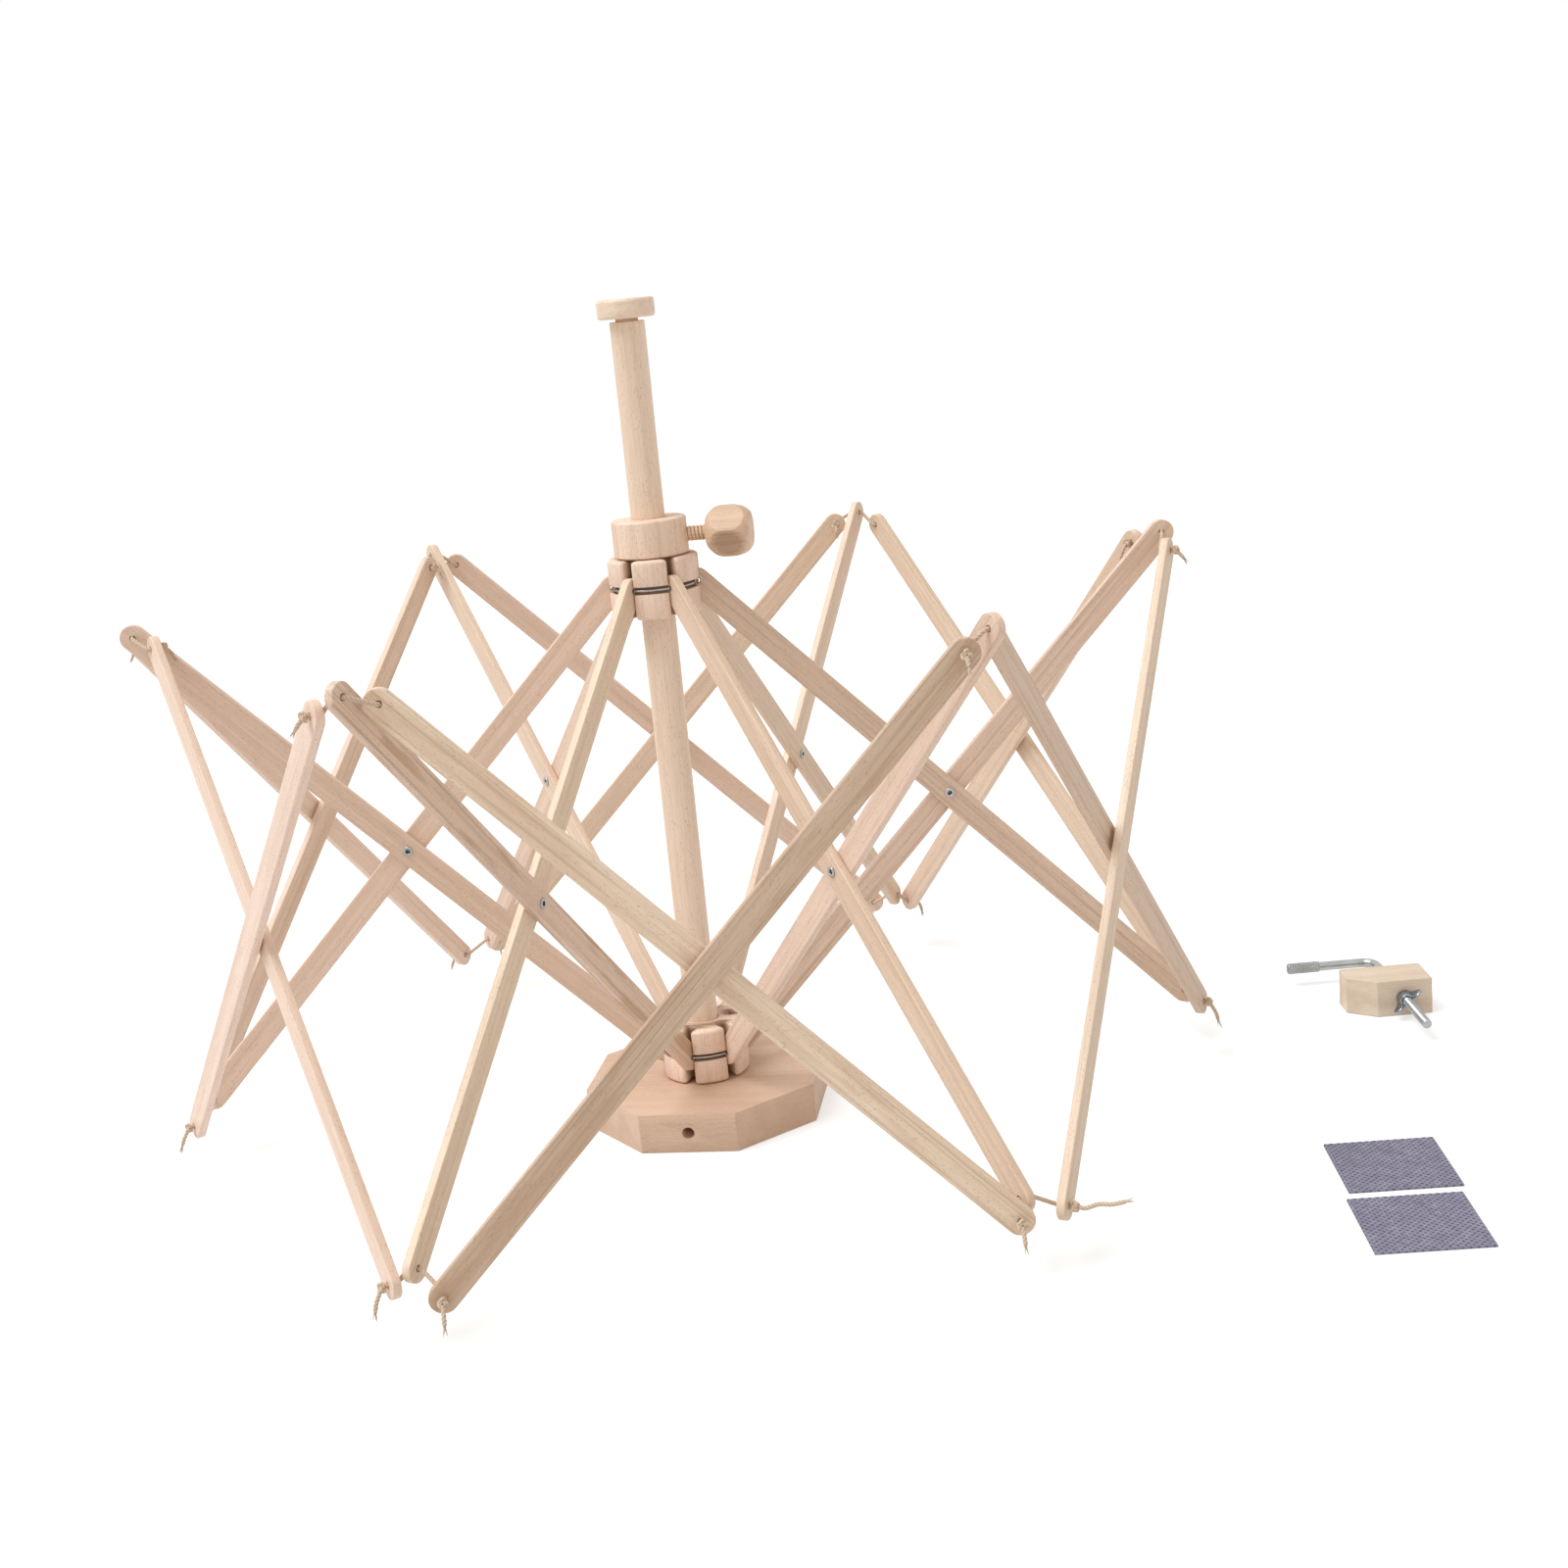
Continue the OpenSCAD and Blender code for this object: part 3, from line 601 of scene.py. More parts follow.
# How dark, how olive (not pink) and how lined a board is, where it differs from the rest by more than chance
MAKES = {"inner_slat_1": (0.0, 0.1, 0.2), "inner_slat_2": (0.0, 0.50, 0.9), "inner_slat_3": (0.65, 0.35, 0.6),
         "outer_slat_1": (0.0, 0.0, 0.3), "outer_slat_2": (1.0, 0.38, 0.9), "outer_slat_3": (0.35, 0.50, 0.4),
         "outer_slat_6": (0.0, 0.1, 0.3), "lower_rib_2": (0.40, 0.20, 1.0), "lower_rib_3": (0.10, 0.0, 0.5),
         "upper_rib_4": (0.56, 0.20, 0.8)}
# Where a slat hangs: along from the tip, out of the line of tips at the top and at the bottom, and down
SLATS = {"inner": (0.019, -0.005, 0.0125, 0.006), "outer": (0.0124, 0.006, 0.0155, 0.009)}


def add_lath(name, number, length, holes, turn, at, body):
    """Sets a lath in its place: turned from its flat drawing, X along it and Z through it,
    and moved to its first hole. Each is cut from its own place in the timber."""
    verts, faces = board(lath_outline(length), holes, LATH_T, LATH_EDGE)
    seed = number * 0.731
    flip = 1 if number % 2 else -1
    grain = verts * np.array([flip, 1, flip]) + np.array([seed, seed * 0.37 % 0.2, seed * 0.61 % 0.3])
    chance = scattered(number * np.array([12.9898, 78.233, 37.719]))
    make = MAKES.get(name, (0.32 * chance[0], 0.6 * chance[1] ** 1.3, 0.2 + 0.6 * chance[2]))
    world = (turn @ (rolled(90) @ verts.T)).T + at
    marks = {"grain": grain, "board": np.tile(make, (len(verts), 1))}
    piece(name, world, faces, body, (name,), beech_laths, marks)


for k in range(ARMS):
    arm = turned(FIRST + 60 * k)
    rib_holes = [(0, 0, 0.0015), (PITCH / 2, 0, 0.0016), (PITCH, 0, HOLE_R)]
    steep = math.degrees(FOLD)
    for name, number, tip, y, z in ((f"lower_rib_{k + 1}", 4 * k + 1, -steep, RIB_OFF, LOW_Z),
                                    (f"upper_rib_{k + 1}", 4 * k + 2, steep, -RIB_OFF, UP_Z)):
        add_lath(name, number, PITCH, rib_holes, arm @ tipped(tip), arm @ np.array([PIVOT_R, y, z]), name)
    for kind, j, way in (("inner", k, 1), ("outer", k + 1, -1)):
        along, out_top, out_low, drop = SLATS[kind]
        slant = math.degrees(math.atan2(out_low - out_top, PITCH))
        span = PITCH / math.cos(math.radians(slant))
        frame_j = turned(FIRST + 60 * j)
        hang = frame_j @ turned(120 * way)
        at = frame_j @ np.array([TIP_R, 0, UP_Z - drop]) + hang @ np.array([along, -way * out_top, 0])
        pose = hang @ tipped(steep) @ turned(-way * slant)
        name = f"{kind}_slat_{k + 1}"
        add_lath(name, 4 * k + 3 + (way < 0), span, [(0, 0, HOLE_R), (span, 0, HOLE_R)], pose, at, name)


# Ties. A tail is a list of steps from its knot: so far out of the slat, so far up
HANGING = (((0.004, -0.007), (0.005, -0.0115)), ((0.004, -0.006), (0.0055, -0.0095)))
CUT_SHORT = (((0.003, -0.003), (0.004, -0.0055)), ((0.003, -0.003), (0.0045, -0.005)))
ONE_LONG = (((0.004, -0.005), (0.0055, -0.009)),
            ((0.005, -0.0005), (0.012, 0.003), (0.019, 0.0035), (0.026, 0.006)))


def tie(name, number, arm, origin, h1, n1, h2, n2, y0, y1, tails):
    """A string from knot to knot through a slat, a rib and the other slat, as one twisted cord.
    h1, n1 and h2, n2 are the slat holes and the ways out through them; y0 and y1 the rib's two sides."""
    f = LATH_T / 2
    k1, k2 = h1 + n1 * (f + KNOT_GAP), h2 + n2 * (f + KNOT_GAP)
    z = np.array([0, 0, 1.0])
    ends = ((k1, n1, tails[0]), (k2, n2, tails[1]))
    first, last = ([knot + way * out + z * up for out, up in tail] for knot, way, tail in ends)
    route = [*first[::-1], k1, h1 + n1 * f, h1 - n1 * (f + BEND_OUT), np.array([0, y0, 0]),
             np.array([0, y1, 0]), h2 - n2 * (f + BEND_OUT), h2 + n2 * f, k2, *last]
    path = cut_route(route, BEND_REACH, STRING_STEP)
    parts = [rope(path, STRING_R, taper=0.8)]
    parts.append(frayed(path[1], path[0] - path[2], number))
    parts.append(frayed(path[-2], path[-1] - path[-3], number + 0.5))
    for c, w in ((k1, n1), (k2, n2)):
        parts.append(rope(knot_path(c, w, KNOT_SIZE), STRING_R * 0.95, taper=1.0))
    verts, faces, uv = joined(parts)
    world = (arm @ (verts + origin).T).T
    piece(name, world, faces, name, (name,), cotton, uv=uv, angle=180)


c = math.cos(math.radians(30))
left, right = np.array([c, 0.5, 0]), np.array([c, -0.5, 0])
ahead, back = np.array([-0.5, c, 0]), np.array([-0.5, -c, 0])
far, near = RIB_OFF + LATH_T / 2 + BEND_OUT, RIB_OFF - LATH_T / 2 - BEND_OUT
in_along, in_top, in_low, in_drop = SLATS["inner"]
out_along, out_top, out_low, out_drop = SLATS["outer"]
in_drop, out_drop = np.array([0, 0, in_drop]), np.array([0, 0, out_drop])
for k in range(ARMS):
    arm = turned(FIRST + 60 * k)
    h1 = in_along * ahead + in_top * left - in_drop
    h2 = out_along * back + out_top * right - out_drop
    top = np.array([TIP_R, 0, UP_Z])
    tie(f"top_tie_{k + 1}", k + 1, arm, top, h1, -left, h2, right, far, near, CUT_SHORT)
    h1 = (PIVOT_R - in_along) * back + in_low * right - in_drop
    h2 = (PIVOT_R - out_along) * ahead + out_low * left - out_drop
    low = np.array([TIP_R, 0, LOW_Z])
    tails = ONE_LONG if k == 2 else HANGING
    tie(f"bottom_tie_{k + 1}", k + 7, arm, low, h1, right, h2, left, -far, -near, tails)


# Post: from its foot in the base to the socket in its top; cap: a disc with a peg
POST_R = 0.010
POST_TOP = 0.478
POST_FOOT = 0.006
SOFT = 0.0008
SOCKET_R = 0.0066
SOCKET_FLOOR = 0.463
profile = [(0.0, POST_FOOT), (POST_R - SOFT, POST_FOOT), (POST_R, POST_FOOT + SOFT)]
profile += [(POST_R, z) for z in np.linspace(0.02, 0.47, 19)]
profile += fillet(POST_R - SOFT, POST_TOP - SOFT, SOFT, 0, 90)
profile += [(SOCKET_R + 0.0006, POST_TOP), (SOCKET_R, POST_TOP - 0.0006), (SOCKET_R, SOCKET_FLOOR),
            (0.0, SOCKET_FLOOR)]
verts, faces = lathe(profile)
piece("post", verts, faces, "stand", ("post",), beech_post)
CAP_R, CAP_H, CAP_EDGE, CAP_Z = 0.0165, 0.011, 0.002, 0.4797
PEG_R, PEG_LENGTH = 0.0065, 0.0157
inner = CAP_R - CAP_EDGE
profile = [(0.0, -PEG_LENGTH), (PEG_R - 0.0005, -PEG_LENGTH), (PEG_R, 0.0005 - PEG_LENGTH), (PEG_R, -0.0003),
           (PEG_R + 0.0005, 0.0), (inner, 0.0), *fillet(inner, CAP_EDGE, CAP_EDGE, -90, 0, 8),
           *fillet(inner, CAP_H - CAP_EDGE, CAP_EDGE, 0, 90, 8), (0.008, CAP_H), (0.0, CAP_H)]
verts, faces = lathe(profile)
piece("cap", verts + np.array([0, 0, CAP_Z]), faces, "cap", ("cap",), pale_cap)


# Hubs
HUB_R = 0.0267
HUB_HALF = 0.017
HUB_BORE = 0.0103
BORE_EDGE = 0.0006
HUB_CORNER = 0.0018
HUB_RIM = 0.0021
SLOT_ROOT = 0.0168
SLOT_HALF = 0.00275
SLOT_FILLET = 0.0008
GROOVE_HALF = 0.0022
GROOVE_R = 0.0236
GROOVE_LIP = 0.0005
SLOT_PAINTED_SHADE = 2


def slot_corner(y, way):
    """The rounded corner between a slot's wall at y and the hub's rim; way is the wall's side, -1 or 1."""
    yc = y + way * HUB_CORNER
    xc = math.sqrt((HUB_R - HUB_CORNER) ** 2 - yc ** 2)
    rim = math.degrees(math.atan2(yc, xc))
    ends = (rim, 90) if way < 0 else (-90, rim)
    return outline_arc(xc, yc, HUB_CORNER, *ends, 7)


def hub_outline(side):
    """Plan of a hub: six outer arcs with rounded corners, and six slots set to one side of the arms."""
    mid = side * RIB_OFF
    low, high = slot_corner(mid - SLOT_HALF, -1), slot_corner(mid + SLOT_HALF, 1)
    x, f = SLOT_ROOT + SLOT_FILLET, SLOT_FILLET
    root = [outline_arc(x, mid - SLOT_HALF + f, -f, 90, 0, 4),
            outline_arc(x, mid + SLOT_HALF - f, -f, 0, -90, 4)]
    end = math.degrees(math.atan2(high[-1][1], high[-1][0]))
    start = math.degrees(math.atan2(low[0][1], low[0][0]) + math.pi / 3)
    ring = np.vstack([low, *root, high, outline_arc(0, 0, HUB_R, end, start, 15)[1:-1]])
    return np.vstack([ring @ turned(60 * k)[:2, :2].T for k in range(ARMS)])


def add_hub(name, z, side):
    """A hub: the plan drawn in at its rims, with the wire groove cut in from the outside at mid-height.
    Its slots and groove are painted darker, as shade."""
    plan = hub_outline(side) @ turned(FIRST)[:2, :2].T
    n = outward(plan)
    g, lip, free = GROOVE_HALF, GROOVE_LIP, 1.0
    below = [(-HUB_HALF, HUB_RIM * 1.15, free)]
    below += [(-HUB_HALF + HUB_RIM * (1 - math.cos(a)), HUB_RIM * (1 - math.sin(a)), free)
              for a in np.linspace(0, math.pi / 2, 6)]
    below += [(-g - lip, 0, free), (-g - lip * 0.3, lip * 0.3, free), (-g, lip, free), (-g, 0, GROOVE_R)]
    rings = []
    for level, drawn, reach in below + [(-level, drawn, reach) for level, drawn, reach in below[::-1]]:
        p = plan - n * drawn
        p = p * np.minimum(1, reach / np.linalg.norm(p, axis=1, keepdims=True))
        rings.append(np.column_stack([p, np.full(len(p), level)]))
    count = len(rings) * len(plan)
    verts = [np.concatenate(rings)]
    faces = grid_faces(len(rings), len(plan))
    m = 72
    a = np.linspace(0, TAU, m, endpoint=False)[::-1]
    bore = []
    ends = HUB_HALF - BORE_EDGE
    for wider, level in ((BORE_EDGE, -HUB_HALF), (0, -ends), (0, ends), (BORE_EDGE, HUB_HALF)):
        radius = HUB_BORE + wider
        bore.append(np.stack([radius * np.cos(a), radius * np.sin(a), np.full(m, level)], axis=1))
    verts = np.concatenate(verts + bore)
    faces += grid_faces(4, m, True, count)
    rings_low = [range(len(plan)), range(count, count + m)]
    rings_high = [range(count - len(plan), count), range(count + 3 * m, count + 4 * m)]
    faces += filled(verts, rings_low, False) + filled(verts, rings_high, True)
    # Painted shade: the slot walls and the wire groove are marked darker
    in_shaded_recess = (np.hypot(verts[:, 0], verts[:, 1]) < GROOVE_R + 0.0004) & (np.arange(len(verts)) < count)
    marks = {"grain": verts[:, [2, 0, 1]] + np.array([z, 0.02, 0.05]),
             "board": np.column_stack([SLOT_PAINTED_SHADE * in_shaded_recess, np.zeros(len(verts)), np.full(len(verts), 0.25)])}
    piece(name, verts + np.array([0, 0, z]), faces, name, (name,), beech_hubs, marks, angle=40)


add_hub("lower_hub", LOW_Z, 1)
add_hub("upper_hub", UP_Z, -1)

# Wires: a ring of round section, radius RING_R + WIRE_R cos b at the height WIRE_R sin b
RING_R = math.hypot(PIVOT_R, RIB_OFF)
WIRE_R = 0.0008
TURNS, SIDES = 96, 16
a = np.linspace(0, TAU, TURNS, endpoint=False)
b = np.linspace(0, TAU, SIDES, endpoint=False)
across = RING_R + WIRE_R * np.cos(b)
height = np.broadcast_to(WIRE_R * np.sin(b), (TURNS, SIDES))
ring = np.stack([np.outer(np.cos(a), across), np.outer(np.sin(a), across), height], axis=-1).reshape(-1, 3)
i, j = np.meshgrid(np.arange(TURNS), np.arange(SIDES), indexing="ij")
here, ahead = i * SIDES, (i + 1) % TURNS * SIDES
beside = (j + 1) % SIDES
quads = np.stack([here + j, ahead + j, ahead + beside, here + beside], axis=-1).reshape(-1, 4)
for name, body, z in (("lower_wire", "lower_hub", LOW_Z), ("upper_wire", "upper_hub", UP_Z)):
    piece(name, ring + np.array([0, 0, z]), quads.tolist(), body, (name,), bright_wire)


# Base, clamp block and collar: the CAD solids with softened edges
def softened(name, material, width):
    """A CAD solid's copy with its sharp edges rounded, riding and named as the solid."""
    src = NODES[name]
    mesh = src.data.copy()
    obj = bpy.data.objects.new(name + "_soft", mesh)
    scene.collection.objects.link(obj)
    bm = bmesh.new()
    bm.from_mesh(mesh)
    bmesh.ops.remove_doubles(bm, verts=bm.verts, dist=1e-6)
    bmesh.ops.dissolve_limit(bm, angle_limit=math.radians(1), verts=bm.verts, edges=bm.edges)
    bm.to_mesh(mesh)
    bm.free()
    mesh.materials.clear()
    mesh.materials.append(material)
    mesh.shade_smooth()
    bevel = obj.modifiers.new("edges", "BEVEL")
    bevel.width = width
    bevel.segments = 3
    bevel.limit_method = "ANGLE"
    bevel.angle_limit = math.radians(35)
    bevel.harden_normals = True
    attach(obj, src["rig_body"])
    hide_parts(name)
    return obj


softened("base", beech_base, 0.0009)
softened("clamp_block", pale_block, 0.0007)
softened("collar", beech_collar, 0.0005)

# Thumbscrew, along X from the post's middle: a wooden thread, and a ball knob with flats round it
SHANK_FROM, SHANK_TO = 0.0106, 0.0346
SHANK_LEAD = 0.0016
SHANK_R = 0.0044
SHANK_PITCH = 0.0022
SHANK_DEEP = 0.001
KNOB_FROM, KNOB_TO = 0.034, 0.060
KNOB_MIDDLE = 0.04752
KNOB_R = 0.0161
FLAT_AT = 0.0127
FLAT_TURN = 138
FLAT_PAINTED_SHADE = 1.3


def shank():
    """The screw's shank: its radius falls by up to SHANK_DEEP in a helix, by how near |2 (s / pitch - a) - 1|
    is to 1. Also gives the groove's depth at each point, from 0 to 1."""
    s = np.linspace(SHANK_FROM, SHANK_TO, 241)
    a = np.linspace(0, TAU, 48, endpoint=False)
    phase = (s[:, None] / SHANK_PITCH - a[None, :] / TAU) % 1
    crest = np.clip(1.9 * (1 - np.abs(phase * 2 - 1)), 0, 1)
    deep = 1 - np.sin(crest * math.pi / 2)
    rad = SHANK_R - SHANK_DEEP * deep
    rad = rad * np.clip(0.75 + (s[:, None] - s[0]) / SHANK_LEAD, 0.75, 1)
    verts = np.stack([np.broadcast_to(s[:, None], rad.shape), rad * np.cos(a), rad * np.sin(a)], axis=-1)
    return verts.reshape(-1, 3), closed_grid(len(s), len(a)), deep.ravel()


def knob():
    """A ball cut by planes, with softened edges: along each direction its reach is the smooth least of the
    ball's radius and each plane's distance, (sum of reach^-p)^(-1/p). The planes are five flats round the
    axis and the two ends. Also gives how near each point is to the lower front flat, which is painted darker
    as shade."""
    th = np.linspace(0.0001, math.pi - 0.0001, 181)
    ph = np.linspace(0, TAU, 240, endpoint=False)
    way = np.stack([-np.cos(th)[:, None] * np.ones_like(ph), np.sin(th)[:, None] * np.cos(ph),
                    np.sin(th)[:, None] * np.sin(ph)], axis=-1)
    turns = np.radians(FLAT_TURN + 72 * np.arange(5))
    flats = np.stack([0 * turns, np.cos(turns), np.sin(turns)], axis=1)
    normals = np.vstack([flats, [[1, 0, 0], [-1, 0, 0]]])
    away = np.array([FLAT_AT] * 5 + [KNOB_TO - KNOB_MIDDLE, KNOB_MIDDLE - KNOB_FROM])
    power = 170.0
    facing = np.maximum(way @ normals.T, 1e-6)
    total = 1 + ((away / KNOB_R / facing) ** -power).sum(axis=-1)
    verts = KNOB_R * way * (total ** (-1 / power))[..., None] + np.array([KNOB_MIDDLE, 0, 0])
    # Painted shade: the lower front flat, which faces down, is marked darker
    shaded = np.clip((facing[..., 1] - 0.72) / 0.16, 0, 1)
    return verts.reshape(-1, 3), closed_grid(len(th), len(ph)), shaded.ravel()


shank_verts, shank_faces, deep = shank()
knob_verts, knob_faces, shaded = knob()
verts, faces, _ = joined([(shank_verts, shank_faces, None), (knob_verts, knob_faces, None)])
# Painted shade: the thread's roots and the knob's lower flat are made darker in the wood
dark = np.concatenate([deep, FLAT_PAINTED_SHADE * shaded])
marks = {"grain": verts + np.array([0.3, 0.011, 0.04]),
         "board": np.column_stack([dark, np.full(len(verts), 0.15), np.full(len(verts), 0.6)])}
verts = verts + np.array([0, 0, SCREW_Z])
piece("thumbscrew", verts, faces, "thumbscrew", ("thumbscrew",), beech_screw, marks, angle=60)

# Clamp, as it lies: its own drawing has the corner of the rod's axis at 0, the short leg along -X and the
# long leg along -Y
CLAMP = np.array([0.425, 0.180, 0.012])
LAID = turned(8)


def laid(verts):
    """Points of the clamp's own drawing in their place on the table."""
    return (LAID @ np.asarray(verts).T).T + CLAMP


def tube(path, radius, sides):
    """A round bar along a path; radius is a function of the length and the angle round it."""
    s, b = carried_frame(path)
    a = np.linspace(0, TAU, sides, endpoint=False)
    rad = radius(lengths(path)[:, None], a[None, :])
    return swept(path, s, b, a, rad), closed_grid(len(path), sides)


# Rod: a knurled end, a bend of 9 mm and a long leg with a fine thread of 1 mm pitch
ROD_R = 0.0030
ROD_SIDES = 84
ROD_CHAMFER = 0.0008
SHORT_LEG, LONG_LEG = 0.058, 0.118
BEND_R = 0.009
KNURL_TO = 0.0211
KNURL_SWELL, KNURL_DEEP = 0.0006, 0.00035
THREAD_FROM = -0.016
THREAD_PITCH, THREAD_DEEP = 0.001, 0.0004
x = np.concatenate([np.linspace(-SHORT_LEG, -0.0365, 173), np.linspace(-0.036, -BEND_R, 12)])
leg = np.stack([x, np.zeros_like(x), np.zeros_like(x)], axis=1)
a = np.radians(np.linspace(90, 0, 17)[1:])
bend = np.stack([-BEND_R + BEND_R * np.cos(a), -BEND_R + BEND_R * np.sin(a), np.zeros_like(a)], axis=1)
thread = np.arange(THREAD_FROM, -0.1173, -THREAD_PITCH / 6)
y = np.concatenate([np.linspace(-0.010, THREAD_FROM, 8), thread[1:], [-0.1174, -0.1177, -LONG_LEG]])
down = np.stack([np.zeros_like(y), y, np.zeros_like(y)], axis=1)
rod_path = np.concatenate([leg, bend, down])
rod_along = lengths(rod_path)
rod_length = rod_along[-1]
thread_at = rod_length - LONG_LEG - THREAD_FROM


def rod_groove(s, a):
    """How deep a point lies in the knurl or the thread, from 0 to 1. The knurl is two crossing waves,
    14 round the bar, up to KNURL_TO; the thread is a helix as deep as 1.25 - 1.5 |2 (s / pitch - a) - 1|."""
    wave = np.maximum(np.cos(14 * a + s / 0.00055), np.cos(14 * a - s / 0.00055))
    knurl = 1 - np.clip(wave * 0.5 + 0.5, 0, 1) ** 1.5
    turn = (s / THREAD_PITCH - a / TAU) % 1
    thread = np.clip(1.25 - 1.5 * np.abs(2 * turn - 1), 0, 1)
    run_in = np.clip((s - thread_at) / THREAD_PITCH, 0, 1)
    run_out = np.clip((rod_length - ROD_CHAMFER - s) / 0.0004, 0, 1)
    return np.where(s < KNURL_TO, knurl, thread * run_in * run_out)


def rod_radius(s, a):
    """A 3 mm bar with chamfered ends, swelled to 3.6 mm by the knurl and cut 0.4 mm deep by the thread."""
    deep = rod_groove(s, a)
    fade = 1 / (1 + np.exp((s - KNURL_TO) / 0.00012))
    bar = ROD_R - THREAD_DEEP * np.where(s < KNURL_TO, 0, deep)
    start = np.clip(s / ROD_CHAMFER, 0, 1)
    end = np.clip((rod_length - s) / ROD_CHAMFER, 0, 1)
    return (bar + (KNURL_SWELL - KNURL_DEEP * deep) * fade) * (0.82 + 0.18 * start) * (0.8 + 0.2 * end)


verts, faces = tube(rod_path, rod_radius, ROD_SIDES)
around = np.linspace(0, TAU, ROD_SIDES, endpoint=False)
# The groove mark darkens the knurl and thread roots: dark oil and painted shade
marks = {"groove": rod_groove(rod_along[:, None], around[None, :]).ravel()}
piece("clamp_rod", laid(verts), faces, "stand", ("clamp_rod",), rod_steel, marks, angle=60)


# Wing nut: a coned boss and two rounded wings
def wing(mirror):
    """A wing, swept up and out from the boss as t goes from 0 to 1: its middle is (u, v), and its section
    is a rounded oblong, w by th to each side, that closes towards the tip."""
    t = np.linspace(0, 1, 25)
    u = 0.0032 + 0.0066 * t ** 1.1
    v = 0.0022 + 0.0072 * t
    w = 0.0030 + 0.0004 * np.sin(math.pi * t)
    th = 0.00125 - 0.0002 * t
    end = np.sqrt(np.clip(1 - np.clip((t - 0.72) / 0.28, 0, 1) ** 2.2, 0.0006, 1))
    a = np.linspace(0, TAU, 28, endpoint=False)
    ca, sa = np.cos(a), np.sin(a)
    ex = np.sign(ca) * np.abs(ca) ** 0.7
    ey = np.sign(sa) * np.abs(sa) ** 0.7
    lean = np.array([0.74, -0.67])
    reach = (w * end)[:, None] * ex
    thick = (th * (0.35 + 0.65 * end))[:, None] * ey
    pts = np.stack([u[:, None] + reach * lean[0], thick, v[:, None] + reach * lean[1]], axis=-1)
    faces = [f[::-1] for f in closed_grid(len(t), len(a))]
    return pts.reshape(-1, 3) * (np.array([-1, -1, 1]) if mirror else 1), faces, None


NUT_BORE = 0.00312
NUT_AT = 0.0704
profile = [(NUT_BORE, 0.0004), (0.0034, 0.0), (0.0050, 0.0), (0.0054, 0.0004), (0.0054, 0.0016),
           (0.0047, 0.0062), (0.0043, 0.0070), (0.0035, 0.0070), (NUT_BORE, 0.0066), (NUT_BORE, 0.0004)]
boss, boss_faces = lathe(profile, 64)
verts, faces, _ = joined([(boss, boss_faces, None), wing(False), wing(True)])
verts = (rolled(90) @ (turned(40) @ verts.T)).T + np.array([0, -NUT_AT, 0])
piece("wing_nut", laid(verts), faces, "wing_nut", ("wing_nut",), zinc_plate, angle=45)

# Grip pads: flat mats whose top has staggered dimples
PAD_HALF = 0.030
PAD_T = 0.0015
DOT_PITCH = 0.0039
DIMPLE = 0.00028


def pad_mesh():
    """A square mat of m by m points: its top z = PAD_T - DIMPLE * (1 - d / 0.24)^0.7 by the distance d to the
    nearest dot in pitches, rounded off at its rim, and a flat underside. The UV map counts the pitches."""
    m = 151
    g = np.linspace(-PAD_HALF, PAD_HALF, m)
    gx, gy = np.meshgrid(g, g, indexing="ij")
    u, v = gx / DOT_PITCH + 0.21, gy / DOT_PITCH + 0.33
    near = np.minimum(np.hypot((u + 0.5) % 1 - 0.5, (v + 0.5) % 1 - 0.5), np.hypot(u % 1 - 0.5, v % 1 - 0.5))
    rim = np.minimum(PAD_HALF - np.abs(gx), PAD_HALF - np.abs(gy))
    dimple = DIMPLE * np.clip(1 - near / 0.24, 0, 1) ** 0.7
    top = PAD_T - dimple - 0.0005 * np.clip(1 - rim / 0.0007, 0, 1) ** 2
    verts = np.concatenate([np.stack([gx, gy, z], axis=-1).reshape(-1, 3) for z in (top, np.zeros_like(top))])
    faces = [f[::-1] for f in grid_faces(m, m, False)] + grid_faces(m, m, False, m * m)
    idx = np.arange(m * m).reshape(m, m)
    border = np.concatenate([idx[:-1, 0], idx[-1, :-1], idx[:0:-1, -1], idx[0, :0:-1]])
    after = np.roll(border, -1)
    faces += np.stack([border, border + m * m, after + m * m, after], axis=-1).tolist()
    return verts, faces, np.concatenate([np.stack([u, v], axis=-1).reshape(-1, 2)] * 2)


verts, faces, uv = pad_mesh()
for name, at in (("grip_pad_1", (0.395, -0.110)), ("grip_pad_2", (0.399, -0.178))):
    laid_flat = (turned(6) @ verts.T).T + np.array([*at, 0])
    pad = piece(name, laid_flat, faces, "stand", (name,), grip_mat, uv=uv, angle=60)

# Rivets: a tube with a rolled rim on both sides; the hollow goes in from each end
def rivet_profile():
    """Half of the profile, from the middle of the hollow's floor round the rim to the shank."""
    face, rim, hole, depth = 0.00499, 0.003, 0.00135, 0.0040
    r, floor = 0.00048, face - depth
    z = face + 0.0009 - r
    lip = fillet(hole + r, z, r, 180, 90) + fillet(rim - r, z, r, 90, 0)
    hollow = [(0.0, floor), (hole * 0.8, floor), (hole, floor + 0.0004)]
    return hollow + lip + [(rim - 0.0001, face), (0.0016, face)]


half_profile = rivet_profile()
full = half_profile + [(r, -z) for r, z in half_profile[::-1]]
verts, faces = lathe(full[::-1], 40)
for k in range(ARMS):
    arm = turned(FIRST + 60 * k)
    middle = np.array([(PIVOT_R + TIP_R) / 2, 0, (LOW_Z + UP_Z) / 2])
    world = (arm @ ((rolled(90) @ verts.T).T + middle).T).T
    name = f"rivet_{k + 1}"
    piece(name, world, faces, f"lower_rib_{k + 1}", (name,), rivet_steel, angle=50)

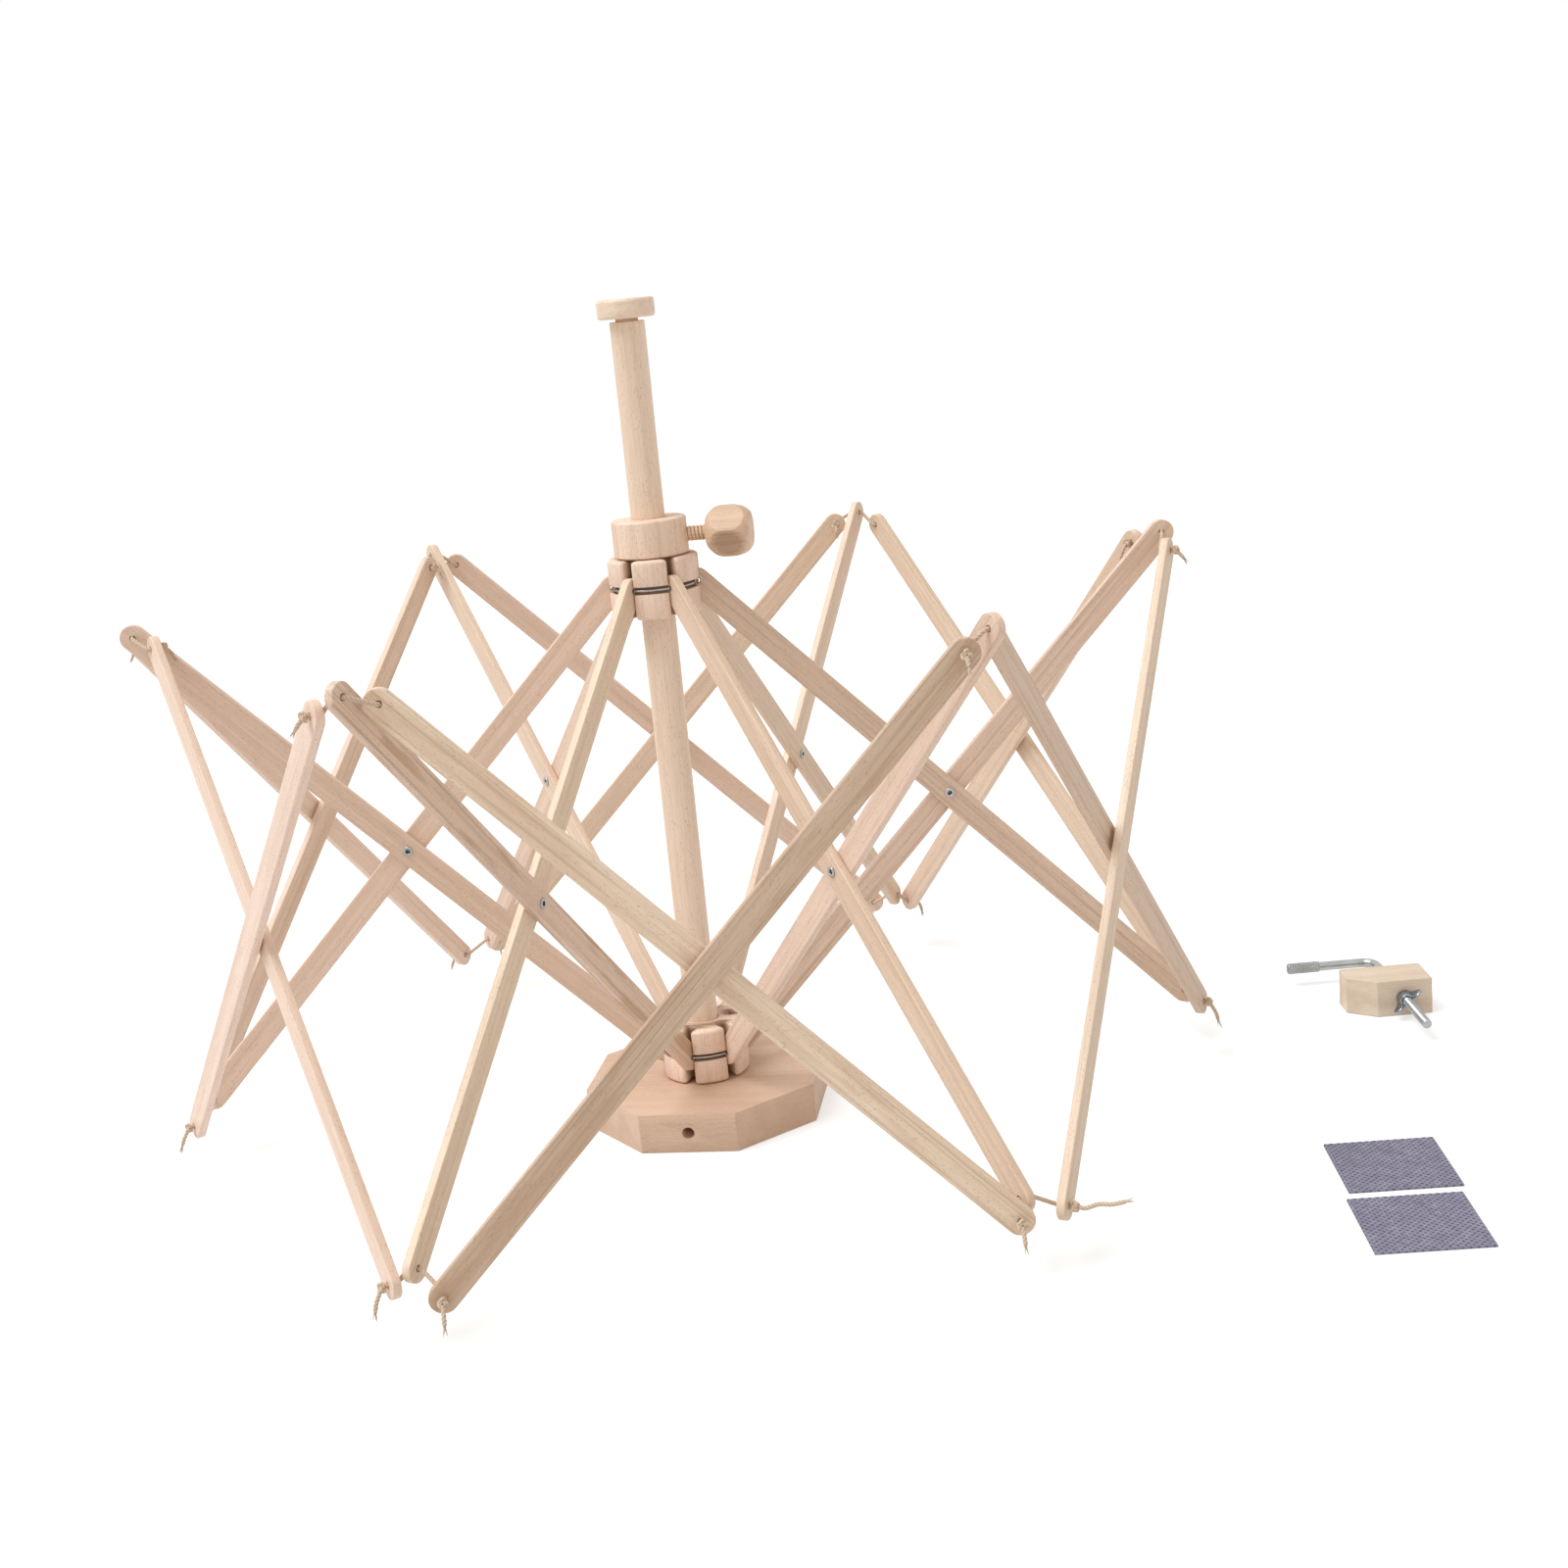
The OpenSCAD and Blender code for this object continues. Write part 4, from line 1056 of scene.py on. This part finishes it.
# Floor, world and lamps
def seen_by_eye(n):
    """1 for what the camera sees, itself or in metal and glass."""
    path = n.add("ShaderNodeLightPath")
    mirrored = n.math("MAXIMUM", path.outputs["Is Glossy Ray"], path.outputs["Is Transmission Ray"])
    return n.math("MAXIMUM", path.outputs["Is Camera Ray"], mirrored)


floor_z = -0.0002
floor_mesh = bpy.data.meshes.new("floor")
corners = [(x, y, floor_z) for x, y in ((-9, -9), (9, -9), (9, 9), (-9, 9))]
floor_mesh.from_pydata(corners, [], [(0, 1, 2, 3)])
floor = bpy.data.objects.new("floor", floor_mesh)
scene.collection.objects.link(floor)
mat, n, shader = new_material("pale floor")
shader.inputs["Base Color"].default_value = (0.75, 0.75, 0.75, 1)
shader.inputs["Roughness"].default_value = 0.9
shader.inputs["Specular IOR Level"].default_value = 0.0
half = n.add("ShaderNodeBsdfDiffuse", {"Color": (0.5, 0.5, 0.5, 1)})
glow = n.add("ShaderNodeEmission", {"Color": (1, 1, 1, 1), "Strength": 0.58})
plus = n.add("ShaderNodeAddShader", {0: half.outputs[0], 1: glow.outputs[0]})
both = n.add("ShaderNodeMixShader", {0: seen_by_eye(n), 1: shader.outputs[0], 2: plus.outputs[0]})
n.put(n.tree.nodes["Material Output"].inputs["Surface"], both.outputs[0])
floor_mesh.materials.append(mat)

world = bpy.data.worlds.new("studio")
scene.world = world
world.use_nodes = True
world.node_tree.nodes.clear()
w = Nodes(world.node_tree)
soft = w.add("ShaderNodeBackground", {"Color": (1, 0.94, 0.85, 1), "Strength": 0.61})
white = w.add("ShaderNodeBackground", {"Color": (1, 1, 1, 1), "Strength": 1.0})
shade = w.add("ShaderNodeMixShader", {0: seen_by_eye(w), 1: soft.outputs[0], 2: white.outputs[0]})
w.put(w.add("ShaderNodeOutputWorld").inputs[0], shade.outputs[0])


def sun(name, towards, spread, power):
    """Even light from one direction, over a spread in degrees."""
    data = bpy.data.lights.new(name, "SUN")
    data.angle = math.radians(spread)
    data.energy = power
    data.color = (0.885, 0.945, 1.0)
    obj = bpy.data.objects.new(name, data)
    scene.collection.objects.link(obj)
    obj.matrix_world = Vector(towards).to_track_quat("Z", "Y").to_matrix().to_4x4()


sun("key", (-0.45, -0.19, 0.872), 38, 2.44)
scene.view_settings.view_transform = "Standard"
